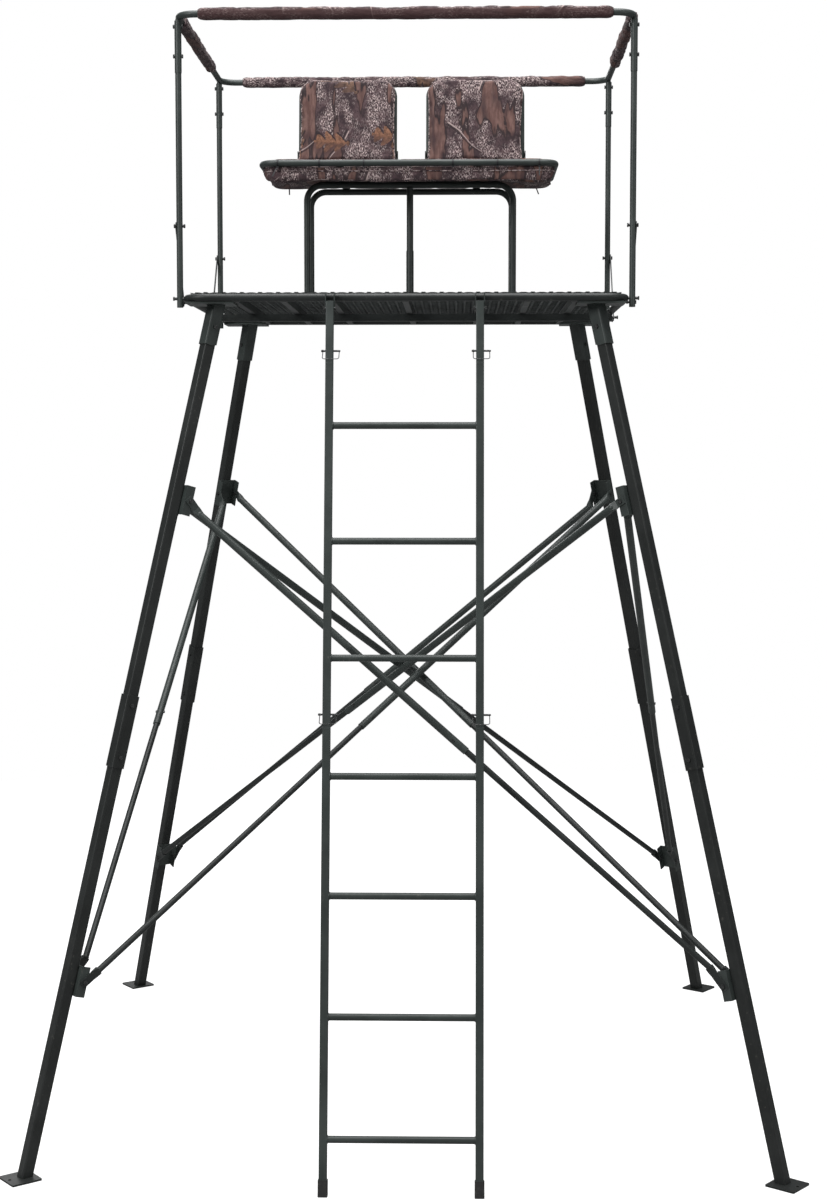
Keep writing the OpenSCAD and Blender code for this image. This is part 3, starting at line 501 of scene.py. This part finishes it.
def solids(node):
    """The box of each closed solid in a CAD node, as (low, high) corners."""
    edit = bmesh.new()
    edit.from_mesh(nodes[node].data)
    bmesh.ops.remove_doubles(edit, verts=edit.verts, dist=0.002 * MM)
    seen, found = set(), []
    for start in edit.verts:
        if start in seen:
            continue
        stack, group = [start], []
        seen.add(start)
        while stack:
            v = stack.pop()
            group.append(v.co.copy())
            for e in v.link_edges:
                other = e.other_vert(v)
                if other not in seen:
                    seen.add(other)
                    stack.append(other)
        co = np.array(group)
        found.append((Vector(co.min(0)), Vector(co.max(0))))
    edit.free()
    return found


def map_cloth(mesh, rule):
    """Gives each face corner its place on the flat cloth, in metres, by a rule of its point and normal."""
    layer = mesh.uv_layers.new(name=CLOTH_MAP)
    for face in mesh.polygons:
        for k in face.loop_indices:
            point = mesh.vertices[mesh.loops[k].vertex_index].co
            layer.data[k].uv = rule(point, face.normal)


def boxed_cloth(point, normal):
    """Cloth laid on from the front, the top or the side, whichever the face looks to."""
    size = [abs(n) for n in normal]
    if size[1] >= max(size[0], size[2]):
        return point.x, point.z
    if size[2] >= size[0]:
        return point.x, point.y + TOP_PRINT
    return point.y + SIDE_PRINT, point.z


# Soft goods

def stuffed(node, name, shrink, voxel, pressure, cap):
    """A copy of a CAD soft solid, swollen by cloth simulation; no point moves further than cap."""
    mesh = nodes[node].data.copy()
    mesh.name = name
    low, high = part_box(node)
    middle = (low + high) / 2
    for v in mesh.vertices:
        away = v.co - middle
        v.co = middle + Vector(a * (1 - 2 * shrink / max(s, 4 * shrink)) for a, s in zip(away, high - low))
    piece = bpy.data.objects.new(name, mesh)
    scene.collection.objects.link(piece)
    bpy.context.view_layer.objects.active = piece
    piece.select_set(True)
    remesh = piece.modifiers.new("remesh", "REMESH")
    remesh.mode = "VOXEL"
    remesh.voxel_size = voxel
    bpy.ops.object.modifier_apply(modifier="remesh")
    rest = points_of(piece.data)
    cloth = piece.modifiers.new("cloth", "CLOTH")
    cloth.settings.quality = 5
    cloth.settings.mass = 0.2
    cloth.settings.tension_stiffness = 25
    cloth.settings.compression_stiffness = 25
    cloth.settings.bending_stiffness = 1.5
    cloth.settings.use_pressure = True
    cloth.settings.uniform_pressure_force = pressure
    cloth.settings.shrink_min = -0.02
    cloth.settings.effector_weights.gravity = 0
    cloth.point_cache.frame_end = CLOTH_FRAMES
    for now in range(1, CLOTH_FRAMES + 1):
        scene.frame_set(now)
    swollen = points_of(piece.evaluated_get(bpy.context.evaluated_depsgraph_get()).data)
    piece.modifiers.remove(cloth)
    scene.frame_set(1)
    move = swollen - rest
    length = np.linalg.norm(move, axis=1)
    limited = cap * np.tanh(length / cap) / np.maximum(length, 1e-9)
    set_points(piece.data, rest + move * limited[:, None])
    bpy.data.objects.remove(piece)
    return mesh


def points_of(mesh):
    co = np.empty(len(mesh.vertices) * 3)
    mesh.vertices.foreach_get("co", co)
    return co.reshape(-1, 3)


def set_points(mesh, co):
    mesh.vertices.foreach_set("co", np.asarray(co, dtype=np.float32).ravel())
    mesh.update()


def relax(mesh, rounds):
    """Evens out the steps that remeshing leaves."""
    edit = bmesh.new()
    edit.from_mesh(mesh)
    for _ in range(rounds):
        bmesh.ops.smooth_vert(edit, verts=edit.verts, factor=0.5,
                              use_axis_x=True, use_axis_y=True, use_axis_z=True)
    edit.to_mesh(mesh)
    edit.free()
    mesh.update()


def subdivided(mesh):
    """The mesh after one smooth subdivision."""
    holder = bpy.data.objects.new("holder", mesh)
    scene.collection.objects.link(holder)
    smooth = holder.modifiers.new("smooth", "SUBSURF")
    smooth.levels = 1
    made = bpy.data.meshes.new_from_object(holder.evaluated_get(bpy.context.evaluated_depsgraph_get()))
    made.name = mesh.name
    bpy.data.objects.remove(holder)
    return made


def held_back(value, limit, room):
    """The value, but above the limit it comes no further than room past it."""
    return value if value < limit else limit + room * math.tanh((value - limit) / room)


def smooth_share(value, low, high):
    t = min(1.0, max(0.0, (value - low) / (high - low)))
    return t * t * (3 - 2 * t)


def wrinkle(place, scale, seed):
    """Soft noise from -1 to 1, the same in every run."""
    return noise.noise(Vector(place) * scale + Vector((seed, 1.3 * seed, 2.1 * seed)))


def ridge(place, scale, seed):
    """Sharp creases: near 1 on a fold and falling away on both sides."""
    return 1 - min(1.0, abs(wrinkle(place, scale, seed)) * 4.5)


def ring_offset(x, y, middle, half, corner):
    """How far a point lies outside the middle line of a rounded ring, and which way is outward."""
    dx, dy = x - middle.x, y - middle.y
    past_x, past_y = abs(dx) - half.x + corner, abs(dy) - half.y + corner
    out_x, out_y = max(past_x, 0.0), max(past_y, 0.0)
    if out_x == 0 and out_y == 0:
        out_x, out_y = (1.0, 0.0) if past_x > past_y else (0.0, 1.0)
        away = max(past_x, past_y) - corner
    else:
        away = math.hypot(out_x, out_y) - corner
    length = math.hypot(out_x, out_y)
    return away, math.copysign(out_x / length, dx), math.copysign(out_y / length, dy)


def seat_cushion(cloth, trim):
    """A slack cushion inside the seat's tubes that laps under them, resting on the bars and straps."""
    low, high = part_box("seat_cushion")
    frame_low, frame_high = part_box("seat_frame")
    tube = 11 * MM                  # half of a tube's thickness
    round_tube = 11.6 * MM          # the same, with room for the cloth
    strap_half = 14 * MM
    strap_rise = 5.2 * MM           # how far the cloth is lifted where it crosses a strap
    lip_start, lip_fade = 62 * MM, 40 * MM      # the lip's distance from the front edge
    lip_drop, lip_wave = 31, 5      # how low the lip hangs, in millimetres
    crease_depth = 3.0              # millimetres
    middle = (frame_low + frame_high) / 2
    half = (frame_high - frame_low) / 2 - Vector((tube, tube, 0))
    tube_z = frame_high.z - tube
    mesh = stuffed("seat_cushion", "seat_cushion_cover", 1 * MM, 7 * MM, 4.0, 10 * MM)
    relax(mesh, 2)
    co = points_of(mesh)
    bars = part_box("seat_leg_frames")[1].z + 0.4 * MM
    straps = [(a + b) / 2 for a, b in solids("seat_frame") if 24 * MM < b.x - a.x < 30 * MM]
    creases = (-0.30, -0.035, 0.085, 0.295)
    for k, (x, y, z) in enumerate(co):
        down = (high.z - z) / (high.z - low.z)
        away, out_x, out_y = ring_offset(x, y, middle, half, TUBE_BEND)
        z += 3.2 * MM * wrinkle((x, y * 1.4, 0), 9, 4) * min(1, max(-away - 14 * MM, 0) / 0.03)
        for at in creases:
            off = (x - at - 0.02 * wrinkle((y, at, 0), 7, 2)) / (5 * MM)
            groove = math.exp(-off * off)
            z += (down - 0.5) * 2 * crease_depth * MM * groove
        pucker = ridge((x, y * 0.4, z), 26, 7) * max(0.0, 1 + min(away, 0) / 0.06)
        z -= 1.8 * MM * pucker * (1 - down)
        if away > -12 * MM and z > tube_z - 7 * MM:
            push = away + 12.2 * MM if z > tube_z - 2 * MM else 0.0
            x -= push * out_x
            y -= push * out_y
        elif abs(away) < round_tube:
            z = min(z, tube_z - math.sqrt(round_tube ** 2 - away ** 2))
        z = held_back(z, high.z, 3.5 * MM)
        at_front = smooth_share(low.y + lip_start - y, 0, lip_fade)
        lip = at_front * smooth_share(tube_z - 12 * MM - z, 0, 12 * MM)
        z -= (lip_drop + lip_wave * wrinkle((x, 0, 0), 6, 12)) * MM * lip
        on_strap = max(1 - max(0, abs(x - strap.x) - strap_half) / (25 * MM) for strap in straps)
        floor = bars + strap_rise * max(0.0, on_strap) - 45 * MM * lip
        co[k] = (x, y, max(z, floor))
    set_points(mesh, co)
    mesh = subdivided(mesh)
    map_cloth(mesh, boxed_cloth)
    piece = new_piece("seat_cushion_cover", mesh, cloth)
    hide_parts("seat_cushion")
    seat_piping(mesh, middle, half, tube, trim)


def seat_piping(mesh, middle, half, tube, trim):
    """Piping round the cushion's top, inside the tubes, and round its lower edge, outside them."""
    low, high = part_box("seat_cushion")
    inside = Vector((tube + 3 * MM, tube + 3 * MM))
    edges_at = (("seat_cushion_top_piping", -inside, high.z - 5 * MM, 39 * MM),
                ("seat_cushion_low_piping", Vector((7 * MM, 7 * MM)), low.z + 4 * MM, 57 * MM))
    for name, grow, level, corner in edges_at:
        outline = rounded_outline(middle.x - half.x - grow.x, middle.x + half.x + grow.x,
                                  middle.y - half.y - grow.y, middle.y + half.y + grow.y, corner, 220)
        path = surface_path(mesh, outline, level)
        new_piece(name, ring_mesh(name, path, 2.1 * MM), trim)


def rounded_outline(x0, x1, y0, y1, r, count):
    """Points along a rounded rectangle, evenly spaced by distance."""
    middle = Vector(((x0 + x1) / 2, (y0 + y1) / 2))
    half = Vector(((x1 - x0) / 2, (y1 - y0) / 2))
    corners = [(half.x - r, half.y - r, 0), (r - half.x, half.y - r, 90),
               (r - half.x, r - half.y, 180), (half.x - r, r - half.y, 270)]
    raw = []
    for cx, cy, start in corners:
        for k in range(7):
            turn = math.radians(start + 15 * k)
            raw.append(middle + Vector((cx + r * math.cos(turn), cy + r * math.sin(turn))))
    lengths = [(raw[(k + 1) % len(raw)] - p).length for k, p in enumerate(raw)]
    total, points, k, gone = sum(lengths), [], 0, 0.0
    for n in range(count):
        want = total * n / count
        while gone + lengths[k] < want:
            gone += lengths[k]
            k += 1
        points.append(raw[k].lerp(raw[(k + 1) % len(raw)], (want - gone) / lengths[k]))
    return points


def surface_path(mesh, outline, level):
    """The outline's points at that height, pulled on to the mesh's side."""
    tree = BVHTree.FromPolygons([v.co for v in mesh.vertices], [list(p.vertices) for p in mesh.polygons])
    path = []
    for p in outline:
        hit, normal, _, _ = tree.find_nearest(Vector((p.x, p.y, level)))
        path.append(hit + 0.6 * MM * normal)
    return path


def backrest_pad(side, cloth, trim):
    """A padded cover on the front of a backrest frame, crowned, with piping round its front and rear."""
    upright = 22 * MM       # an upright's thickness
    seam_depth = 24 * MM    # the face starts this far in front of the hinge's plane
    face_depth = 44.4 * MM  # the face's own depth, which the cloth may pass by face_room
    face_room = 2.5 * MM
    node, body = side + "_backrest_pad", side + "_backrest"
    mesh = stuffed(node, node + "_cover", 3 * MM, 5 * MM, 4.0, 9 * MM)
    relax(mesh, 2)
    place = backrest_frame_of(side)
    back = place.inverted()
    co = points_of(mesh)
    seed = 3 if side == "left" else 8
    low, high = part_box(node)
    half = (high.x - low.x) / 2
    for k, p in enumerate(co):
        q = back @ Vector(p)
        from_tube = min(half - upright - abs(q.x), PAD_HIGH - upright - q.z)
        near_tube = max(0.0, 1 - max(0.0, from_tube) / 0.03)
        q.y = min(q.y, -10.4 * MM + (1 - near_tube) * 6 * MM)
        face = max(0.0, -(q.y + seam_depth) / (20 * MM))
        edge = min(half - abs(q.x), q.z - PAD_LOW, PAD_HIGH - q.z)
        q.y -= face * 2.2 * MM * wrinkle((q.x, q.z, 0), 11, seed)
        pull = ridge((q.x, q.z, 0), 24, seed + 1) * max(0.0, 1 - max(edge, 0) / 0.055)
        q.y += face * 2.4 * MM * pull
        sag = max(0.0, 1 - (q.z - PAD_LOW) / 0.07)
        q.y -= face * 2.5 * MM * sag * (1 - (q.x / half) ** 2)
        if side == "right":
            q.x -= 9 * MM * max(0.0, q.x / half) ** 3 * min(1.0, max(0.0, 1 - q.z / 0.24))
        q.x = min(half + 0.8 * MM, max(-half - 0.8 * MM, q.x))
        q.y = -held_back(-q.y, face_depth, face_room)
        q.z = max(PAD_LOW - 2 * MM, q.z)
        co[k] = place @ q
    set_points(mesh, co)
    mesh = subdivided(mesh)
    map_cloth(mesh, boxed_cloth)
    piece = new_piece(node + "_cover", mesh, cloth, body)
    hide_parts(node)
    backrest_piping(side, mesh, place, half, trim)


def backrest_piping(side, mesh, place, half, trim):
    """Piping round a backrest pad's face and round its back."""
    tree = BVHTree.FromPolygons([v.co for v in mesh.vertices], [list(p.vertices) for p in mesh.polygons])
    for name, depth in (("front", -39 * MM), ("rear", -15 * MM)):
        path = []
        for p in rounded_outline(-half, half, PAD_LOW, PAD_HIGH, PAD_CORNER, 150):
            if p.y < PAD_LOW + PAD_CORNER:
                p = square_corner(p, half)
            hit, normal, _, _ = tree.find_nearest(place @ Vector((p.x, depth, p.y)))
            path.append(hit + 0.5 * MM * normal)
        label = side + "_backrest_" + name + "_piping"
        new_piece(label, ring_mesh(label, path, 2.0 * MM), trim, side + "_backrest")


def square_corner(p, half):
    """A point on a pad's lower rounded corner, moved out towards the pad's square one."""
    over = Vector((max(0.0, abs(p.x) - half + PAD_CORNER), max(0.0, PAD_LOW + PAD_CORNER - p.y)))
    if over.x == 0 or over.y == 0:
        return p
    grow = PAD_CORNER / max(over.x, over.y)
    reach = Vector((half - PAD_CORNER + over.x * grow, PAD_LOW + PAD_CORNER - over.y * grow))
    return Vector((math.copysign(reach.x, p.x), reach.y))


def backrest_frame_of(side):
    """The place of a backrest's own frame: X across, Z up its uprights, at its hinge in the record."""
    joint = next(j for j in frame["joints"] if j["name"] == side + "_backrest_fold")
    return Matrix.Translation(joint["pos_m"]) @ Matrix.Rotation(-BACKREST_LEAN, 4, "X")


def sleeve_radius(s, x, z, radius, bunch, seed):
    """How far a sleeve's cloth stands out, s along the rail and x, z round it, with folds and creases."""
    squareness = 2.7        # 2 is a circle
    boxy = (abs(x) ** squareness + abs(z) ** squareness) ** (-1 / squareness)
    top = 0.35 + 0.65 * max(0.0, z)
    fold = wrinkle((s, 0.05 * x, 0.05 * z), 13, seed)
    fold += 0.6 * wrinkle((s, 0.06 * x, 0.06 * z), 34, seed)
    crease = ridge((s, 0.04 * x, 0.04 * z), 20, seed + 3)
    r = radius * boxy * 0.95 + 3.0 * MM * top * fold - 2.2 * MM * crease * top
    if bunch:
        ring = ridge((s, 0.012 * x, 0.012 * z), 30, seed + 5)
        puff = wrinkle((s, 0.02 * x, 0.02 * z), 17, seed + 9)
        r += bunch * (4.0 * MM * puff - 4.5 * MM * ring)
    return r


def wrap_cloth(mesh, places, around):
    """Lays the print round a sleeve, from each point's distance along it and share of a turn round it."""
    layer = mesh.uv_layers.new(name=CLOTH_MAP)
    for face in mesh.polygons:
        turns = [places[mesh.loops[k].vertex_index][1] for k in face.loop_indices]
        wraps = max(turns) - min(turns) > 0.5
        for k, turn in zip(face.loop_indices, turns):
            turn = turn + 1 if wraps and turn < 0.5 else turn
            layer.data[k].uv = (turn * around, places[mesh.loops[k].vertex_index][0])


def rail_sleeve(name, a, b, radius, bore, bunch, seed, cloth):
    """A padded sleeve round a rail from a to b. bunch, from 0 to 1, says how much it is crumpled."""
    along = (b - a).normalized()
    length = (b - a).length
    up = Vector((0, 0, 1))
    across = along.cross(up)
    rings = round(length / (5 * MM))
    sides = 56
    hem = 0.72              # the end face's size, as a share of the sleeve's radius
    least_cloth = 1.5 * MM
    points, places = [], []
    stations = [(k / rings * length, 1.0) for k in range(rings + 1)]
    rows = [(0.0, bore / radius), (0.0, hem)] + stations + [(length, hem), (length, bore / radius)]
    for s, share in rows:
        end = min(s, length - s)
        tuck = 1 - 0.30 * math.exp(-end / (7 * MM))
        for m in range(sides):
            turn = 2 * math.pi * m / sides
            x, z = math.sin(turn), math.cos(turn)
            r = sleeve_radius(s, x, z, radius, bunch, seed) * (1 - (1 - tuck) * (1 - 0.3 * bunch))
            r = max(bore + least_cloth, r)
            if share < 1:
                r = max(bore, r * share)
            points.append(a + along * s + across * (r * x) + up * (r * z))
            places.append((s, turn / (2 * math.pi)))
    mesh = mesh_of(name, points, grid_faces(len(rows), sides))
    wrap_cloth(mesh, places, 2 * math.pi * radius)
    return new_piece(name, mesh, cloth)


def rail_sleeves(cloths):
    """The four sleeves on the shooting rail, each where its CAD solid is."""
    pad_low, pad_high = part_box("front_rail_pad")
    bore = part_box("front_rail")[1].z - (pad_low.z + pad_high.z) / 2 + 0.3 * MM
    for k, node in enumerate(("front_rail_pad", "back_rail_pad")):
        low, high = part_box(node)
        middle = (low + high) / 2
        radius = (high.z - low.z) / 2
        a = Vector((low.x, middle.y, middle.z))
        b = Vector((high.x, middle.y, middle.z))
        piece = rail_sleeve(node + "_cover", a, b, radius, bore, 0.0, 11 + 6 * k, cloths[k])
        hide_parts(node)
    for low, high in solids("side_rail_pads"):
        side = "left" if low.x < 0 else "right"
        middle = (low + high) / 2
        radius = (high.z - low.z) / 2
        a = Vector((middle.x, low.y, middle.z))
        b = Vector((middle.x, high.y, middle.z))
        bunch, seed = (0.45, 23) if side == "left" else (1.0, 31)
        piece = rail_sleeve(side + "_rail_pad_cover", a, b, radius, bore, bunch, seed, cloths[2])
        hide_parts("side_rail_pads")


# Metalwork

def expanded_deck(coat):
    """Raised expanded metal: zigzag strands joined where they meet, welded down on the platform's tubes."""
    low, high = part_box("deck")
    tube = 25 * MM
    half_x, half_y = (high.x - low.x) / 2 - tube / 2, (high.y - low.y) / 2 - tube / 2
    middle_y = (low.y + high.y) / 2
    long_way, short_way = 58 * MM, 25 * MM      # one diamond of the mesh
    strand, rise, plate = 3.4 * MM, 3.4 * MM, 2.2 * MM
    columns = math.ceil(half_x / (long_way / 2))
    rows = math.ceil(half_y / (short_way / 2))
    points, faces = [], []

    def edge_x(y):
        """How far the deck runs across at that distance from its middle line."""
        past = abs(y) - (half_y - TUBE_BEND)
        if past <= 0:
            return half_x
        return half_x - TUBE_BEND + math.sqrt(max(0.0, TUBE_BEND ** 2 - min(past, TUBE_BEND) ** 2))

    for row in range(-rows, rows):
        trail = []
        for column in range(-columns, columns + 1):
            upper = (row + column) % 2 == 0
            y = (row + (1 if upper else 0)) * short_way / 2
            x = column * long_way / 2
            inset = (-0.06 if upper else 0.06) * short_way
            for dx in (-0.11, 0.11):
                trail.append(Vector((x + dx * long_way, y + inset, rise if upper else 0.0)))
        run = []
        for p in trail + [None]:
            inside = p is not None and abs(p.y) < half_y and abs(p.x) < edge_x(p.y)
            if inside:
                run.append(p)
            elif len(run) > 1:
                add_strand(points, faces, run, strand, plate, middle_y, low.z)
                run = []
            else:
                run = []
    mesh = mesh_of("expanded_metal", points, faces)
    piece = new_piece("expanded_metal", mesh, coat)
    mesh.polygons.foreach_set("use_smooth", [False] * len(mesh.polygons))
    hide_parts("deck")


def add_strand(points, faces, run, width, thick, middle_y, bottom):
    """One flat strand of metal along the run's points."""
    first = len(points)
    for p in run:
        for dy, dz in ((-0.5, 0), (0.5, 0), (0.5, 1), (-0.5, 1)):
            points.append((p.x, middle_y + p.y + dy * width, bottom + p.z + dz * thick))
    for k in range(len(run) - 1):
        for m in range(4):
            n = (m + 1) % 4
            base = first + 4 * k
            faces.append((base + m, base + 4 + m, base + 4 + n, base + n))
    last = first + 4 * (len(run) - 1)
    faces.append((first, first + 1, first + 2, first + 3))
    faces.append((last + 3, last + 2, last + 1, last))


def weld_bead(points, faces, centre, normal, radius, size, seed):
    """A lumpy ring of weld metal round a tube, where it meets a face."""
    rings, sides = 28, 6
    side = normal.orthogonal().normalized()
    up = normal.cross(side)
    first = len(points)
    for k in range(rings):
        turn = 2 * math.pi * k / rings
        out = math.cos(turn) * side + math.sin(turn) * up
        lump = size * (1 + 0.35 * wrinkle(centre + out * radius, 260, seed))
        for m in range(sides):
            tip = 2 * math.pi * m / sides
            away = radius + lump * 0.75 * math.cos(tip)
            points.append(centre + out * away + normal * lump * math.sin(tip))
    for k in range(rings):
        for m in range(sides):
            a = first + k * sides + m
            b = first + k * sides + (m + 1) % sides
            c = first + ((k + 1) % rings) * sides + (m + 1) % sides
            d = first + ((k + 1) % rings) * sides + m
            faces.append((a, b, c, d))


def rung_welds(coat):
    """Weld beads at both ends of every rung, the solids that are wide enough to be one."""
    least_rung = 0.3
    for node in ("ladder_lower_section", "ladder_upper_section"):
        points, faces = [], []
        for low, high in solids(node):
            if high.x - low.x < least_rung:
                continue
            middle = (low + high) / 2
            radius = (high.z - low.z) / 2
            for end in (-1, 1):
                centre = Vector((low.x if end < 0 else high.x, middle.y, middle.z))
                weld_bead(points, faces, centre, Vector((1, 0, 0)), radius + 0.3 * MM, 2.6 * MM, 5 + end)
        new_piece(node + "_welds", mesh_of(node + "_welds", points, faces), coat)


def tie_tails(nylon):
    """Heads of the cable ties that hold the cushion's cover to the seat, and tails on the outer ones."""
    tails_from = 0.4
    points, faces = [], []
    for k, (low, high) in enumerate(solids("cushion_ties")):
        middle = (low + high) / 2
        front = middle.y < -0.1
        out = -1 if front else 1
        head = Vector((middle.x, middle.y + out * 0.35 * (high.y - low.y), low.z - 1.0 * MM))
        box_at(points, faces, head, (3.6 * MM, 2.6 * MM, 2.4 * MM))
        if abs(middle.x) < tails_from:
            continue
        tail = [head + Vector((0.004 * t * ((k % 3) - 1), out * 0.004 * t, -0.006 * t - 0.0006 * t * t))
                for t in range(5)]
        ribbon(points, faces, tail, 2.2 * MM, 0.6 * MM)
    piece = new_piece("cushion_tie_tails", mesh_of("cushion_tie_tails", points, faces), nylon)
    piece.data.polygons.foreach_set("use_smooth", [False] * len(piece.data.polygons))


def box_at(points, faces, centre, half):
    first = len(points)
    for z in (-1, 1):
        for x, y in ((-1, -1), (1, -1), (1, 1), (-1, 1)):
            points.append(centre + Vector((x * half[0], y * half[1], z * half[2])))
    faces.append((first + 3, first + 2, first + 1, first))
    faces.append((first + 4, first + 5, first + 6, first + 7))
    for m in range(4):
        n = (m + 1) % 4
        faces.append((first + m, first + n, first + 4 + n, first + 4 + m))


def ribbon(points, faces, path, half, thick):
    """A flat strap along a path, its width along X."""
    first = len(points)
    for p in path:
        for dx, dy in ((-half, 0), (half, 0), (half, thick), (-half, thick)):
            points.append(p + Vector((dx, dy, 0)))
    for k in range(len(path) - 1):
        for m in range(4):
            n = (m + 1) % 4
            base = first + 4 * k
            faces.append((base + m, base + n, base + 4 + n, base + 4 + m))
    last = first + 4 * (len(path) - 1)
    faces.append((first + 3, first + 2, first + 1, first))
    faces.append((last, last + 1, last + 2, last + 3))


# Assembly

def paint_frame(finishes):
    """Gives every CAD node that stays in sight its finish."""
    for name, node in nodes.items():
        if name.startswith(("lock_pin", "pin_bail")) or name.endswith("bolts"):
            finish = finishes["hardware"]
        elif name == "ladder_feet":
            finish = finishes["rubber"]
        elif name == "cushion_ties":
            finish = finishes["nylon"]
        # Painted shade: these parts get a darker copy of the steel's coat
        elif name in ("platform_frame", "post_stays", "backrest_brackets") or "inner" in name:
            finish = finishes["dark_steel"]
        # Painted shade: the legs and foot plates get an even darker copy of the coat
        elif "leg_" in name and name != "seat_leg_frames" or name == "foot_plates":
            finish = finishes["shaded_leg_steel"]
        else:
            finish = finishes["steel"]
        node.data.materials.clear()
        node.data.materials.append(finish)


def main():
    make_camera()
    make_stage()
    finishes = {
        "steel": powder_coat("green_grey_powder_coat", STEEL),
        # A darker copy of the coat, painted shade
        "dark_steel": powder_coat("shaded_powder_coat", SHADED_STEEL, 0.46),
        # An even darker copy of the coat for the legs, painted shade
        "shaded_leg_steel": powder_coat("shaded_leg_powder_coat", SHADED_LEG_STEEL, 0.44),
        # The deck gets the darker copy of the coat too, painted shade
        "deck": powder_coat("shaded_deck_powder_coat", SHADED_STEEL, 0.5),
        "hardware": zinc_plate("black_zinc", (0.035, 0.036, 0.036)),
        "rubber": rubber("black_rubber"),
        "nylon": black_nylon("black_nylon"),
    }
    trim = piping_fabric("cushion_piping")
    paint_frame(finishes)
    # The front rail's last number paints shade on the lower part of its sleeve
    # The number after each cloth's shift darkens that cloth as painted shade
    rail_sleeves([camo_fabric("front_rail_camo", (0.4, 2.2, 0.0), 1.0, 0.1, 0.72),
                  camo_fabric("back_rail_camo", (2.9, 0.3, 0.0), 0.9, 0.1),
                  camo_fabric("side_rail_camo", (1.7, 4.4, 0.0), 0.6, 0.1)])
    seat_cushion(camo_fabric("seat_camo", (5.2, 1.1, 0.0)), trim)
    backrest_pad("left", camo_fabric("left_backrest_camo", (0.0, 0.0, 0.0), 0.95, 0.36), trim)
    backrest_pad("right", camo_fabric("right_backrest_camo", (0.33, 0.6, 0.0), 0.95, 0.30), trim)
    expanded_deck(finishes["deck"])
    rung_welds(finishes["steel"])
    tie_tails(finishes["nylon"])


main()
